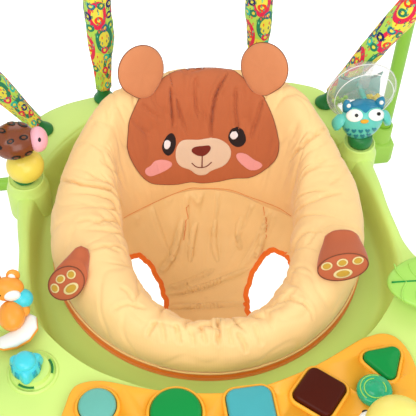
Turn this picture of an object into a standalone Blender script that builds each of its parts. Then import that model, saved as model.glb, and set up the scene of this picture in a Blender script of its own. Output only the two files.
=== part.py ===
"""A baby jumper: a floor frame of steel tube, a play tray hung from it by six sprung straps,
a padded seat that turns in the tray, and small toys round the tray's rim.
Metres, +Z up, origin on the floor under the seat's turning axis, the child facing -Y."""

import math

import bmesh
import bpy
from mathutils import Matrix, Vector

MM = 0.001
CLEAR = 0.0003          # gap between two mating pieces

# floor frame
TUBE_R = 0.0125
TUBE_WALL = 0.0010
ARCH_X = 0.425
LEG_Y = 0.455
RAIL_Z = 0.845
ARCH_BEND = 0.110
REAR_RAIL_Y = 0.290
LEG_FOOT_Z = 0.010
BASE_TUBE_Z = 0.026
FOOT_HALF = 0.024
FOOT_H = 0.046
COLLAR_R = 0.0175
COLLAR_TOP = 0.085
CLAMP_R = 0.0185
CLAMP_LONG = 0.042

# tray
TRAY_TOP = 0.400
WELL_DEEP = 0.050
WELL_Z = TRAY_TOP - WELL_DEEP
TRAY_WALL = 0.004
SKIRT_DEEP = 0.062
TRAY_SKIRT = TRAY_TOP - SKIRT_DEEP
HOLE_R = 0.165
BOSS_R = 0.026
BOSS_TOP = 0.414
BORE_R = 0.010
SPIGOT_R = BORE_R - CLEAR
SPIGOT_LOW = TRAY_TOP - 0.008

# seat
SEAT_TURN = math.radians(-5.6)
RING_IN = 0.151
RING_OUT = 0.206
RING_TOP = WELL_Z + 0.0045
BUCKET_LOW = 0.226
BUCKET_WALL = 0.0035
LEG_HOLE_AZ = math.radians(15.7)
LEG_HOLE_TILT = math.radians(30)
LEG_HOLE_Z = 0.298
LEG_HOLE_W = 0.0576
LEG_HOLE_H = 0.0437
LEG_HOLE_SHIFT = -0.0131

# panel and keys
PANEL_TOP = 0.409
KEY_TRAVEL = 0.003
KEY_TOP = 0.417

ROUND = 16

CHICK_AT = (0.148, -0.332)
ROLLER_AT = (0.146, -0.278)
OWL_AT = (0.2335, 0.1018)
KNOB_AT = (-0.239, -0.191)
FOX_AT = (-0.256, -0.118)
LEAF_AT = (0.246, -0.150)


def clear_scene():
    for old in list(bpy.data.objects):
        bpy.data.objects.remove(old, do_unlink=True)


def material(name, colour, roughness=0.5, metallic=0.0):
    """A plain finish of one colour, given as sRGB hex."""
    found = bpy.data.materials.get(name)
    if found:
        return found
    made = bpy.data.materials.new(name)
    made.use_nodes = True
    shader = made.node_tree.nodes["Principled BSDF"]
    parts = [int(colour[i:i + 2], 16) / 255 for i in (1, 3, 5)]
    linear = [c / 12.92 if c <= 0.04045 else ((c + 0.055) / 1.055) ** 2.4 for c in parts]
    shader.inputs["Base Color"].default_value = (*linear, 1)
    shader.inputs["Roughness"].default_value = roughness
    shader.inputs["Metallic"].default_value = metallic
    return made


def mesh_object(name, points, faces, finish=None):
    """One closed mesh with its faces turned outwards; without a finish it is a hidden tool."""
    mesh = bpy.data.meshes.new(name)
    mesh.from_pydata([tuple(p) for p in points], [], faces)
    work = bmesh.new()
    work.from_mesh(mesh)
    bmesh.ops.remove_doubles(work, verts=work.verts, dist=1e-6)
    bmesh.ops.recalc_face_normals(work, faces=work.faces)
    if work.calc_volume(signed=True) < 0:
        bmesh.ops.reverse_faces(work, faces=work.faces)
    work.to_mesh(mesh)
    work.free()
    obj = bpy.data.objects.new(name, mesh)
    bpy.context.scene.collection.objects.link(obj)
    if finish:
        mesh.materials.append(finish)
    else:
        obj.hide_render = True
        obj.display_type = "WIRE"
    return obj


def loft(name, rings, finish=None, wrap=False):
    """Skin through closed rings of equal counts; the ends are capped, or joined when wrap is set."""
    count = len(rings[0])
    points = [p for ring in rings for p in ring]
    faces = []
    last = len(rings) if wrap else len(rings) - 1
    for i in range(last):
        a, b = i * count, (i + 1) % len(rings) * count
        for j in range(count):
            k = (j + 1) % count
            faces.append((a + j, a + k, b + k, b + j))
    if not wrap:
        faces.append(tuple(range(count)))
        faces.append(tuple((len(rings) - 1) * count + j for j in range(count)))
    return mesh_object(name, points, faces, finish)


def turned(name, profile, finish=None, centre=(0, 0, 0), axis=(0, 0, 1), sides=ROUND):
    """A solid of revolution: profile of (radius, height) from one end on the axis to the other."""
    turn = Vector((0, 0, 1)).rotation_difference(Vector(axis)).to_matrix()
    middle = Vector(centre)
    rings = []
    for radius, height in profile:
        radius = max(radius, 1e-5)
        ring = []
        for j in range(sides):
            a = math.tau * j / sides
            ring.append(middle + turn @ Vector((radius * math.cos(a), radius * math.sin(a), height)))
        rings.append(ring)
    return loft(name, rings, finish)


def hollow_turned(name, profile, finish=None, centre=(0, 0, 0), sides=ROUND):
    """A ring of revolution: a closed profile of (radius, height) carried round the upright axis."""
    rings = []
    for j in range(sides):
        a = math.tau * j / sides
        rings.append([Vector((centre[0] + r * math.cos(a), centre[1] + r * math.sin(a), centre[2] + z))
                      for r, z in profile])
    return loft(name, rings, finish, wrap=True)


def rod(name, start, end, radius, finish=None, sides=ROUND):
    """A round bar between two points."""
    start, end = Vector(start), Vector(end)
    long = (end - start).length
    return turned(name, [(radius, 0), (radius, long)], finish, start, (end - start).normalized(), sides)


def ball(name, centre, radii, finish=None, sides=ROUND, rows=9):
    """An ellipsoid."""
    rings = []
    for i in range(rows + 1):
        t = math.pi * i / rows
        across = max(math.sin(t), 1e-4)
        rings.append([Vector((centre[0] + radii[0] * across * math.cos(math.tau * j / sides),
                              centre[1] + radii[1] * across * math.sin(math.tau * j / sides),
                              centre[2] - radii[2] * math.cos(t))) for j in range(sides)])
    return loft(name, rings, finish)


def box(name, low, high, finish=None):
    """An upright box between two corners."""
    xs, ys, zs = zip(low, high)
    ring = [(0, 0), (1, 0), (1, 1), (0, 1)]
    return loft(name, [[Vector((xs[i], ys[j], z)) for i, j in ring] for z in zs], finish)


def swept(name, path, radius, finish=None, sides=10, closed=False):
    """A round bar along a path of points, its section carried along without twisting."""
    path = [Vector(p) for p in path]
    count = len(path)
    tangents = []
    for i in range(count):
        before = path[i - 1] if i or closed else path[i]
        after = path[(i + 1) % count] if i < count - 1 or closed else path[i]
        tangents.append((after - before).normalized())
    side = tangents[0].orthogonal().normalized()
    rings = []
    for i, point in enumerate(path):
        tangent = tangents[i]
        side = (side - tangent * side.dot(tangent)).normalized()
        up = tangent.cross(side)
        wide = radius[i] if isinstance(radius, (list, tuple)) else radius
        rings.append([point + (side * math.cos(math.tau * j / sides)
                               + up * math.sin(math.tau * j / sides)) * wide
                      for j in range(sides)])
    return loft(name, rings, finish, wrap=closed)


def combine(obj, unions=(), cuts=()):
    """Adds and takes away hidden solids, in that order."""
    for kind, helpers in (("UNION", unions), ("DIFFERENCE", cuts)):
        for helper in helpers:
            step = obj.modifiers.new(helper.name, "BOOLEAN")
            step.operation = kind
            step.solver = "EXACT"
            step.object = helper
    return obj


def plate(name, outline, low, high, edge, finish=None):
    """An upright prism on an outline of (x, y), its top edge rounded over by edge."""
    mid_x = sum(p[0] for p in outline) / len(outline)
    mid_y = sum(p[1] for p in outline) / len(outline)
    rings = []
    for inset, z in ((0, low), (0, high - edge), (0.35 * edge, high - 0.3 * edge), (edge, high)):
        ring = []
        for x, y in outline:
            away = Vector((x - mid_x, y - mid_y, 0))
            ring.append(Vector((x, y, z)) - away.normalized() * inset)
        rings.append(ring)
    return loft(name, rings, finish)


def padded(name, outline, thick, place, finish):
    """A padded flat piece: an outline of (x, y) swelling to a crown of the given thickness."""
    rings = []
    for scale, level in ((0.45, -0.5), (0.82, -0.42), (0.97, -0.2), (1.0, 0.0), (0.97, 0.2),
                         (0.82, 0.42), (0.45, 0.5)):
        rings.append([place @ Vector((x * scale, y * scale, level * thick)) for x, y in outline])
    return loft(name, rings, finish)


def smooth(value, low, high):
    """0 below low, 1 above high, an easy curve between."""
    t = min(max((value - low) / (high - low), 0.0), 1.0)
    return t * t * (3 - 2 * t)


def between(table, value):
    """Reads a table of (position, value) on a smooth line that doesn't overshoot between its rows."""
    slopes = [(b[1] - a[1]) / (b[0] - a[0]) for a, b in zip(table, table[1:])]
    lean = [0.0] + [0.0 if p * q <= 0 else 2 * p * q / (p + q) for p, q in zip(slopes, slopes[1:])] + [0.0]
    for i in range(len(slopes)):
        (a, left), (b, right) = table[i], table[i + 1]
        if value <= b:
            t, wide = (value - a) / (b - a), b - a
            return ((1 + 2 * t) * (1 - t) ** 2 * left + t * (1 - t) ** 2 * wide * lean[i]
                    + t * t * (3 - 2 * t) * right - t * t * (1 - t) * wide * lean[i + 1])
    return table[-1][1]


# finishes
STEEL = material("frame_paint", "#8DBF3A", 0.4)
GREEN = material("frame_plastic", "#8FC63D", 0.45)
DARK_GREEN = material("hook_plastic", "#1E6B3A", 0.4)
SPRING = material("spring_steel", "#9A9C9E", 0.35, 1.0)
SLEEVE = material("sleeve_cloth", "#C9E98A", 0.9)
TRAY = material("tray_plastic", "#BFE06A", 0.4)
PANEL = material("panel_plastic", "#FBB335", 0.4)
CLOTH = material("seat_cloth", "#FDC98B", 0.9)
EAR = material("ear_cloth", "#D98A5E", 0.9)
PAW = material("paw_cloth", "#B0553A", 0.9)
RING = material("ring_plastic", "#F98A45", 0.45)
AQUA = material("owl_plastic", "#5CC6BD", 0.35)
CLEAR_DRUM = material("drum_plastic", "#CFE6E8", 0.1)
YELLOW = material("bug_base_plastic", "#F3DC5A", 0.35)
BROWN = material("bug_plastic", "#7A3A1C", 0.35)
ORANGE = material("fox_plastic", "#F9A63A", 0.35)
CYAN = material("knob_plastic", "#4FD6E0", 0.35)
LEAF = material("leaf_plastic", "#A9DE62", 0.35)
ROLLER = material("roller_plastic", "#22C48A", 0.2)
CHICK = material("chick_plastic", "#F6E36C", 0.35)


def frame_parts():
    """Two arches on four feet, joined by two floor tubes and one rail at the top of the back."""
    for side, name in ((-1, "left"), (1, "right")):
        x = side * ARCH_X
        path = []
        for ahead in (-1, 1):
            corner = [(x, ahead * LEG_Y, LEG_FOOT_Z + CLEAR), (x, ahead * LEG_Y, RAIL_Z - ARCH_BEND)]
            for i in range(1, 7):
                a = math.pi / 2 * i / 6
                corner.append((x, ahead * (LEG_Y - ARCH_BEND + ARCH_BEND * math.cos(a)),
                               RAIL_Z - ARCH_BEND + ARCH_BEND * math.sin(a)))
            path += corner if ahead < 0 else corner[::-1]
        arch = swept(f"arch_{name}", path, TUBE_R, STEEL, 16)
        low = Vector((0, 0, 0.02))
        combine(arch, cuts=(swept(f"arch_bore_{name}", [Vector(path[0]) - low] + path[1:-1] + [Vector(path[-1]) - low],
                                  TUBE_R - TUBE_WALL, sides=12),))
        for ahead, place in ((-1, "front"), (1, "rear")):
            y = ahead * LEG_Y
            foot = [(x + dx * FOOT_HALF, y + dy * FOOT_HALF) for dx, dy in
                    ((-1, -0.6), (-0.6, -1), (0.6, -1), (1, -0.6), (1, 0.6), (0.6, 1), (-0.6, 1), (-1, 0.6))]
            base = plate(f"foot_{place}_{name}", foot, 0, FOOT_H, 0.006, GREEN)
            inner = x - side * 0.062
            tool = f"{place}_{name}"
            collar = rod(f"collar_{tool}", (x, y, 0.02), (x, y, COLLAR_TOP), COLLAR_R)
            socket = rod(f"socket_{tool}", (x - side * 0.004, y, BASE_TUBE_Z), (inner, y, BASE_TUBE_Z), COLLAR_R)
            upright = rod(f"upright_{tool}", (x, y, LEG_FOOT_Z), (x, y, 0.1), TUBE_R + CLEAR, sides=16)
            sideways = rod(f"sideways_{tool}", (x - side * 0.0165, y, BASE_TUBE_Z),
                           (x - side * 0.1, y, BASE_TUBE_Z), TUBE_R + CLEAR, sides=16)
            combine(base, (collar, socket), (upright, sideways))
        hub = rod(f"rail_clamp_{name}", (x, REAR_RAIL_Y - CLAMP_LONG / 2, RAIL_Z),
                  (x, REAR_RAIL_Y + CLAMP_LONG / 2, RAIL_Z), CLAMP_R, GREEN)
        arm = rod(f"clamp_arm_{name}", (x - side * 0.004, REAR_RAIL_Y, RAIL_Z),
                  (x - side * 0.058, REAR_RAIL_Y, RAIL_Z), COLLAR_R)
        rail_bore = rod(f"clamp_bore_{name}", (x, REAR_RAIL_Y - 0.05, RAIL_Z), (x, REAR_RAIL_Y + 0.05, RAIL_Z),
                        TUBE_R + CLEAR, sides=16)
        arm_bore = rod(f"clamp_arm_bore_{name}", (x - side * 0.0165, REAR_RAIL_Y, RAIL_Z),
                       (x - side * 0.1, REAR_RAIL_Y, RAIL_Z), TUBE_R + CLEAR, sides=16)
        combine(hub, (arm,), (rail_bore, arm_bore))
    reach = ARCH_X - 0.0168
    for name, y, z in (("base_tube_front", -LEG_Y, BASE_TUBE_Z), ("base_tube_rear", LEG_Y, BASE_TUBE_Z),
                       ("rear_top_rail", REAR_RAIL_Y, RAIL_Z)):
        tube = rod(name, (-reach, y, z), (reach, y, z), TUBE_R, STEEL, 16)
        combine(tube, cuts=(rod(f"{name}_bore", (-reach - 0.01, y, z), (reach + 0.01, y, z),
                                TUBE_R - TUBE_WALL, sides=12),))


HOOK_R = 0.0095
HOOK_LONG = 0.036
LUG_R = 0.0095
LUG_LONG = 0.050
SLEEVE_R = 0.019
SLEEVE_WALL = 0.0018
SPRING_R = 0.0115
SPRING_WIRE = 0.0014
SPRING_TURNS = 5
STRAPS = (
    ("rear", (0.115, 0.258), (0.105, REAR_RAIL_Y), "x"),
    ("side", (0.207, 0.203), (ARCH_X, 0.150), "y"),
    ("front", (0.300, -0.225), (ARCH_X, -0.150), "y"),
)


def strap(name, base, top, along):
    """One hanging strap: a clamp on the rail, a spring, a gathered cloth sleeve and a lower hook."""
    low = Vector((*base, TRAY_TOP + CLEAR))
    high = Vector((*top, RAIL_Z))
    way = (high - low).normalized()
    long = (high - low).length
    hook_top = low + way * HOOK_LONG
    path = [low, low + Vector((0, 0, 0.004)), low + Vector((0, 0, 0.006)) + way * 0.004,
            low + way * 0.018, hook_top]
    rings = []
    for point, radius, up in zip(path, (0.015, 0.015, 0.0125, HOOK_R, HOOK_R),
                                 (0.0, 0.0, 0.5, 1.0, 1.0)):
        normal = (Vector((0, 0, 1)) * (1 - up) + way * up).normalized()
        turn = Vector((0, 0, 1)).rotation_difference(normal).to_matrix()
        rings.append([point + turn @ Vector((radius * math.cos(math.tau * j / 16),
                                             radius * math.sin(math.tau * j / 16), 0)) for j in range(16)])
    loft(f"strap_hook_{name}", rings, DARK_GREEN)

    rail = Vector((1, 0, 0)) if along == "x" else Vector((0, 1, 0))
    clamp = rod(f"strap_hanger_{name}", high - rail * 0.017, high + rail * 0.017, CLAMP_R, GREEN)
    lug = rod(f"lug_{name}", high - way * 0.006, high - way * LUG_LONG, LUG_R, sides=16)
    bore = rod(f"hanger_bore_{name}", high - rail * 0.03, high + rail * 0.03, TUBE_R + CLEAR, sides=16)
    combine(clamp, (lug,), (bore,))

    turn = Vector((0, 0, 1)).rotation_difference(way).to_matrix()
    spring_low = HOOK_LONG + SPRING_WIRE + CLEAR
    spring_high = long - LUG_LONG - SPRING_WIRE - 0.4 * CLEAR
    steps = SPRING_TURNS * 8
    helix = []
    for i in range(steps + 1):
        a = math.tau * SPRING_TURNS * i / steps
        t = i / steps
        inward = 1 - 0.5 * (smooth(0.12 - t, 0, 0.12) + smooth(t, 0.94, 1.0))
        helix.append(low + turn @ Vector((SPRING_R * inward * math.cos(a), SPRING_R * inward * math.sin(a),
                                          spring_low + (spring_high - spring_low) * t)))
    swept(f"strap_spring_{name}", helix, SPRING_WIRE, SPRING, 4)

    sleeve_low, sleeve_high = 0.022, long - 0.024
    sides, rows = 10, 8
    outer, inner = [], []
    for i in range(rows + 1):
        t = i / rows
        at = sleeve_low + (sleeve_high - sleeve_low) * t
        ends = smooth(t, 0, 0.26) * smooth(1 - t, 0, 0.16)
        fold = 0.0011 * math.sin(t * 17 + len(name))
        inside = (HOOK_R + 2 * CLEAR) * (1 - ends) + (SLEEVE_R - SLEEVE_WALL + fold) * ends
        for ring, radius in ((outer, inside + SLEEVE_WALL), (inner, inside)):
            ring.append([low + turn @ Vector((radius * math.cos(math.tau * j / sides),
                                              radius * math.sin(math.tau * j / sides), at))
                         for j in range(sides)])
    points = [p for ring in outer + inner[::-1] for p in ring]
    faces = []
    total = 2 * (rows + 1)
    for i in range(total):
        a, b = i * sides, (i + 1) % total * sides
        for j in range(sides):
            k = (j + 1) % sides
            faces.append((a + j, a + k, b + k, b + j))
    mesh_object(f"strap_sleeve_{name}", points, faces, SLEEVE)


def straps():
    for place, base, top, along in STRAPS:
        for side, hand in ((-1, "left"), (1, "right")):
            strap(f"{place}_{hand}", (side * base[0], base[1]), (side * top[0], top[1]), along)


# the tray's outer edge and the edge of its well: degrees from +Y (the back) and the radius there
TRAY_EDGE = ((0, 0.270), (29, 0.308), (34, 0.316), (41, 0.322), (50, 0.304), (58, 0.284), (66, 0.270),
             (78, 0.255), (90, 0.248), (102, 0.256), (108, 0.272), (114, 0.318), (119, 0.372), (126, 0.410),
             (135, 0.412), (146, 0.398), (158, 0.386), (170, 0.381), (180, 0.380))
WELL_EDGE = ((0, 0.246), (30, 0.243), (58, 0.237), (73, 0.230), (88, 0.228), (108, 0.238), (126, 0.250),
             (136, 0.250), (150, 0.246), (180, 0.243))
BOSSES = ((-OWL_AT[0], OWL_AT[1], BOSS_R, BOSS_TOP), (*OWL_AT, BOSS_R, BOSS_TOP),
          (*KNOB_AT, 0.029, TRAY_TOP + 0.010), (*FOX_AT, 0.014, TRAY_TOP + 0.006), (*LEAF_AT, 0.016, TRAY_TOP + 0.008),
          (*CHICK_AT, 0.018, TRAY_TOP + 0.008), (*ROLLER_AT, 0.0095, PANEL_TOP))


def tray():
    """The play tray: a thin moulded shell with a well round the seat, a rim and toy bosses."""
    sides = 48
    rings = []
    for j in range(sides):
        a = math.tau * j / sides
        from_back = math.degrees(a)
        from_back = 360 - from_back if from_back > 180 else from_back
        edge, well = between(TRAY_EDGE, from_back), between(WELL_EDGE, from_back)
        band = min(edge - well, 0.04)
        wall = TRAY_WALL
        profile = (
            (HOLE_R, WELL_Z), (well - 0.012, WELL_Z), (well - 0.002, WELL_Z + 0.008),
            (well + 0.15 * band, TRAY_TOP - 0.008), (well + 0.42 * band, TRAY_TOP),
            (edge - 0.38 * band, TRAY_TOP), (edge - 0.12 * band, TRAY_TOP - 0.006),
            (edge, TRAY_TOP - 0.018), (edge + 0.001, TRAY_SKIRT),
            (edge - 0.003, TRAY_SKIRT), (edge - 0.004, TRAY_TOP - 0.020),
            (edge - 0.36 * band, TRAY_TOP - wall), (well + 0.46 * band, TRAY_TOP - wall),
            (well + 0.003, WELL_Z + 0.002), (well - 0.008, WELL_Z - wall), (HOLE_R, WELL_Z - wall),
        )
        rings.append([Vector((-r * math.sin(a), r * math.cos(a), z)) for r, z in profile])
    body = loft("tray", rings, TRAY, wrap=True)
    rises, bores = [], []
    for i, (x, y, radius, top) in enumerate(BOSSES):
        low = WELL_Z - 0.001 if radius == BOSS_R else TRAY_TOP - 0.012
        rises.append(turned(f"boss_{i}", [(radius, low), (radius, top - 0.002), (radius - 0.002, top)],
                            centre=(x, y, 0), sides=16))
        bores.append(rod(f"boss_bore_{i}", (x, y, SPIGOT_LOW - 0.002), (x, y, top + 0.01),
                         BORE_R if radius > 0.017 else 0.006, sides=16))
    return combine(body, rises, bores)


def seat_spot(radius, degrees, z):
    """A point of the seat, its own forward direction turned a little from the tray's."""
    a = math.radians(degrees) + SEAT_TURN
    return Vector((radius * math.cos(a), radius * math.sin(a), z))


# the pad's section beside the child (a wide roll), in front (a narrow one) and behind (a tall rest), in mm
BASE = RING_TOP * 1000
SIDE_SECTION = ((140, BASE + 0.7), (147.5, BASE + 0.7), (148.6, BASE + 0.8), (149.4, BASE + 0.9), (182, BASE + 0.9),
                (198, 376), (202, 408), (194, 440), (175, 455), (150, 456), (128, 446), (117, 432), (113, 414),
                (114, 396), (121, 377), (130, 362))
NOSE_SECTION = ((140, BASE + 0.7), (147.5, BASE + 0.7), (148.6, BASE + 0.8), (149.4, BASE + 0.9), (188, BASE + 0.9),
                (205, 372), (211, 396), (208, 419), (199, 434), (187, 437), (175, 431), (166, 418), (158, 402),
                (151, 388), (145, 375), (141, 364))
BACK_SECTION = ((118, 334.2), (126, 334.2), (149.0, 344), (149.4, BASE + 0.9), (190, BASE + 0.9), (203, 376),
                (205, 408), (206, 440), (202, 475), (193, 500), (179, 509), (165, 504), (154, 484),
                (145, 450), (133, 405), (122, 365))


def back_weight(degrees):
    """1 behind the child, 0 round the front; degrees are from the seat's +X."""
    from_back = abs((degrees - 90 + 180) % 360 - 180)
    return 1 - smooth(from_back, 38, 92)


def nose_weight(degrees):
    """1 in front of the child, 0 beside and behind."""
    from_front = abs((degrees - 270 + 180) % 360 - 180)
    return 1 - smooth(from_front, 8, 74)


def pad_loft(name, finish=None, grow=0.0):
    """The padded roll round the seat, rising behind into the back rest; grow swells it, in mm."""
    sides = 48
    rings = []
    for j in range(sides):
        degrees = 360 * j / sides
        w, n = back_weight(degrees), nose_weight(degrees)
        section = []
        for side, nose, back in zip(SIDE_SECTION, NOSE_SECTION, BACK_SECTION):
            section.append(Vector([side[k] * (1 - w - n) + nose[k] * n + back[k] * w for k in (0, 1)]))
        middle = sum(section, Vector((0, 0))) / len(section)
        rings.append([seat_spot((p.x + (p - middle).normalized().x * grow) * MM, degrees,
                                (p.y + (p - middle).normalized().y * grow) * MM) for p in section])
    return loft(name, rings, finish, wrap=True)


def leg_hole_frame(side):
    """Where a leg hole's tool starts, and its direction, its width's and its height's."""
    degrees = -math.degrees(LEG_HOLE_AZ) if side > 0 else 180 + math.degrees(LEG_HOLE_AZ)
    out = seat_spot(1, degrees, 0)
    way = out * math.cos(LEG_HOLE_TILT) - Vector((0, 0, 1)) * math.sin(LEG_HOLE_TILT)
    across = way.cross(Vector((0, 0, 1))).normalized() * side
    return out * 0.035 + Vector((0, 0, LEG_HOLE_Z)), way, across, way.cross(across).normalized() * -side


def seat_bucket():
    """The hanging cloth bucket under the pad, with two leg holes."""
    sides = 48
    drop = ((1.0, 0.0), (0.95, 0.25), (0.86, 0.5), (0.72, 0.74), (0.48, 0.92), (0.2, 0.99))
    rings = []
    for j in range(sides):
        degrees = 360 * j / sides
        w = back_weight(degrees)
        rim_r = (143.5 * (1 - w) + 122 * w) * MM
        rim_z = ((BASE + 0.3) * (1 - w) + 333.8 * w) * MM
        outer = [(rim_r * f, rim_z + (BUCKET_LOW - rim_z) * g) for f, g in drop]
        inner = [((rim_r - BUCKET_WALL) * f, rim_z + (BUCKET_LOW + BUCKET_WALL - rim_z) * g) for f, g in drop]
        rings.append([seat_spot(r, degrees, z) for r, z in outer + inner[::-1]])
    points, faces = [], []
    count = len(rings[0])
    for ring in rings:
        points += ring
    for i in range(sides):
        a, b = i * count, (i + 1) % sides * count
        for j in range(count):
            k = (j + 1) % count
            if j == count // 2 - 1:
                continue
            faces.append((a + j, a + k, b + k, b + j))
    half = count // 2
    faces.append(tuple(i * count + half - 1 for i in range(sides)))
    faces.append(tuple(i * count + half for i in range(sides)))
    body = mesh_object("seat_bucket", points, faces, CLOTH)
    holes = []
    for side, hand in ((-1, "left"), (1, "right")):
        start, way, across, up = leg_hole_frame(side)
        rings = [[point + across * (LEG_HOLE_SHIFT + LEG_HOLE_W * math.cos(math.tau * j / 18))
                  + up * LEG_HOLE_H * math.sin(math.tau * j / 18) for j in range(18)]
                 for point in (start, start + way * 0.19)]
        holes.append(loft(f"leg_hole_{hand}", rings))
    return combine(body, cuts=holes)


def seat_parts():
    hollow_turned("seat_ring", [(RING_IN, RING_TOP), (RING_OUT, RING_TOP), (RING_OUT, WELL_Z + CLEAR),
                                (HOLE_R - 2.5 * CLEAR, WELL_Z + CLEAR),
                                (HOLE_R - 2.5 * CLEAR, WELL_Z - TRAY_WALL - CLEAR),
                                (HOLE_R + 0.008, WELL_Z - TRAY_WALL - CLEAR),
                                (HOLE_R + 0.008, WELL_Z - TRAY_WALL - 0.006),
                                (RING_IN, WELL_Z - TRAY_WALL - 0.006)], RING, sides=36)
    pad_loft("seat_pad", CLOTH)
    seat_bucket()
    rest = pad_loft("pad_clearance", grow=2500 * CLEAR)
    ear = []
    for j in range(24):
        a = math.tau * j / 24
        low = smooth(-math.sin(a), 0.55, 1.0)
        ear.append((0.0325 * math.cos(a) * (1 - 0.10 * low), 0.0335 * math.sin(a) - 0.0040 * low * low))
    for side, hand in ((-1, "left"), (1, "right")):
        degrees = 90 - side * EAR_DEGREES
        out = seat_spot(1, degrees, 0)
        up = (Vector((0, 0, 1)) * math.cos(EAR_LEAN) + out * math.sin(EAR_LEAN)).normalized()
        across = up.cross(out).normalized()
        place = Matrix((across, up, across.cross(up))).transposed().to_4x4()
        place.translation = seat_spot(EAR_R, degrees, EAR_Z)
        combine(padded(f"ear_{hand}", ear, 0.013, place, EAR), cuts=(rest,))
    for hand, sole, root, facing, across, wide, tall, thin in PAWS:
        combine(paw(f"paw_{hand}", Vector(sole), Vector(root), Vector(facing).normalized(), Vector(across),
                    wide, tall, thin), cuts=(rest,))


EAR_DEGREES = 28
EAR_R = 0.172
EAR_Z = 0.5325
EAR_LEAN = math.radians(20)
# each paw: middle of its sole, root of its arm, the sole's facing and its long way, half sizes, and the root's share
PAWS = (
    ("left", (-0.186, -0.100, 0.440), (-0.160, -0.069, 0.465), (-0.45, -0.68, 0.57), (0.79, -0.01, 0.61),
     0.0265, 0.0195, 0.18),
    ("right", (0.1385, -0.1395, 0.463), (0.150, -0.090, 0.463), (-0.05, -0.92, 0.38), (1.0, 0.0, 0.08),
     0.0310, 0.0185, 0.62),
)


def paw(name, sole, root, facing, across, wide, tall, thin):
    """A stuffed paw: an arm from its root on the roll that swells to a flat sole."""
    across = (across - facing * across.dot(facing)).normalized()
    arm = (sole - root).normalized()
    rings = []
    for t in (0.0, 0.12, 0.3, 0.5, 0.7, 0.88, 1.0):
        normal = (arm * (1 - t) + facing * t).normalized()
        wide_way = (across - normal * across.dot(normal)).normalized()
        tall_way = normal.cross(wide_way)
        size = thin + (1 - thin) * smooth(t, -0.15, 0.92)
        end = 0.55 if t == 0 else 0.97 if t == 1.0 else 1.0
        middle = root.lerp(sole, t) - Vector((0, 0, 0.004)) * math.sin(math.pi * t)
        rings.append([middle + wide_way * wide * size * end * math.cos(math.tau * j / 16)
                      + tall_way * tall * (0.35 + 0.65 * size) * end * math.sin(math.tau * j / 16)
                      for j in range(16)])
    for share, ahead in ((0.82, 0.0014), (0.45, 0.0026)):
        rings.append([sole + (p - sole) * share + facing * ahead for p in rings[6]])
    return loft(name, rings, PAW)


# each key: its middle, its corners (0 for a round one), the distance of a corner's centre and its radius, and its turn
KEYS = (
    ("key_1", (-0.163, -0.251), 0, 0.0, 0.021, 0),
    ("key_2", (-0.078, -0.271), 0, 0.0, 0.0285, 0),
    ("key_3", (0.005, -0.279), 4, 0.0190, 0.0125, 45),
    ("key_4", (0.085, -0.270), 4, 0.0215, 0.0090, 2),
    ("key_5", (0.168, -0.242), 3, 0.0155, 0.0085, 34),
)


def key_outline(corners, reach, radius, turn, grow=0.0):
    """The outline of a key about its middle, or of its hole when grown."""
    outline = []
    steps = 24 if not corners else 24 // corners
    for i in range(max(corners, 1)):
        way = math.radians(turn) + math.tau * i / max(corners, 1)
        for k in range(steps):
            a = way + (math.tau * k / 24 if not corners else (k / (steps - 1) - 0.5) * math.tau / corners)
            outline.append((reach * math.cos(way) + (radius + grow) * math.cos(a),
                            reach * math.sin(way) + (radius + grow) * math.sin(a)))
    return outline


def key_panel():
    """The sound panel on the front of the tray, with a hole for each key."""
    inner = ((-0.199, -0.244), (-0.190, -0.224), (-0.177, -0.217), (-0.154, -0.218), (-0.115, -0.232),
             (-0.070, -0.245), (-0.017, -0.253), (0.026, -0.250), (0.064, -0.241), (0.100, -0.229),
             (0.146, -0.208), (0.160, -0.204), (0.178, -0.202), (0.193, -0.210))
    outer = ((0.202, -0.230), (0.204, -0.255), (0.202, -0.280), (0.190, -0.296), (0.165, -0.306), (0.135, -0.312),
             (0.100, -0.330), (0.050, -0.338), (0, -0.342), (-0.060, -0.342), (-0.110, -0.338), (-0.160, -0.330),
             (-0.196, -0.310), (-0.206, -0.280), (-0.204, -0.258))
    body = plate("key_panel", inner + outer, TRAY_TOP + CLEAR, PANEL_TOP, 0.003, PANEL)
    holes = []
    for name, (x, y), corners, reach, radius, turn in KEYS:
        def ring(z, grow):
            return [Vector((x + dx, y + dy, z)) for dx, dy in key_outline(corners, reach, radius, turn, grow)]
        holes.append(loft(f"hole_{name}", [ring(TRAY_TOP - 0.002, CLEAR), ring(PANEL_TOP + 0.01, CLEAR)]))
        low = TRAY_TOP + KEY_TRAVEL + 3 * CLEAR
        loft(name, [ring(low, 0), ring(KEY_TOP - 0.003, 0), ring(KEY_TOP - 0.0008, -0.001), ring(KEY_TOP, -0.003),
                    ring(KEY_TOP, -0.006), ring(KEY_TOP - 0.002, -0.008)],
             material(f"{name}_plastic", KEY_COLOURS[name], 0.35))
    holes.append(turned("roller_hole", [(0.0095 + CLEAR, TRAY_TOP - 0.002), (0.0095 + CLEAR, PANEL_TOP + 0.01)],
                        centre=(*ROLLER_AT, 0), sides=16))
    return combine(body, cuts=holes)


KEY_COLOURS = {"key_1": "#74BCAF", "key_2": "#1E9A4A", "key_3": "#54B0B0", "key_4": "#4E1B0E",
               "key_5": "#14964A"}


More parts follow.
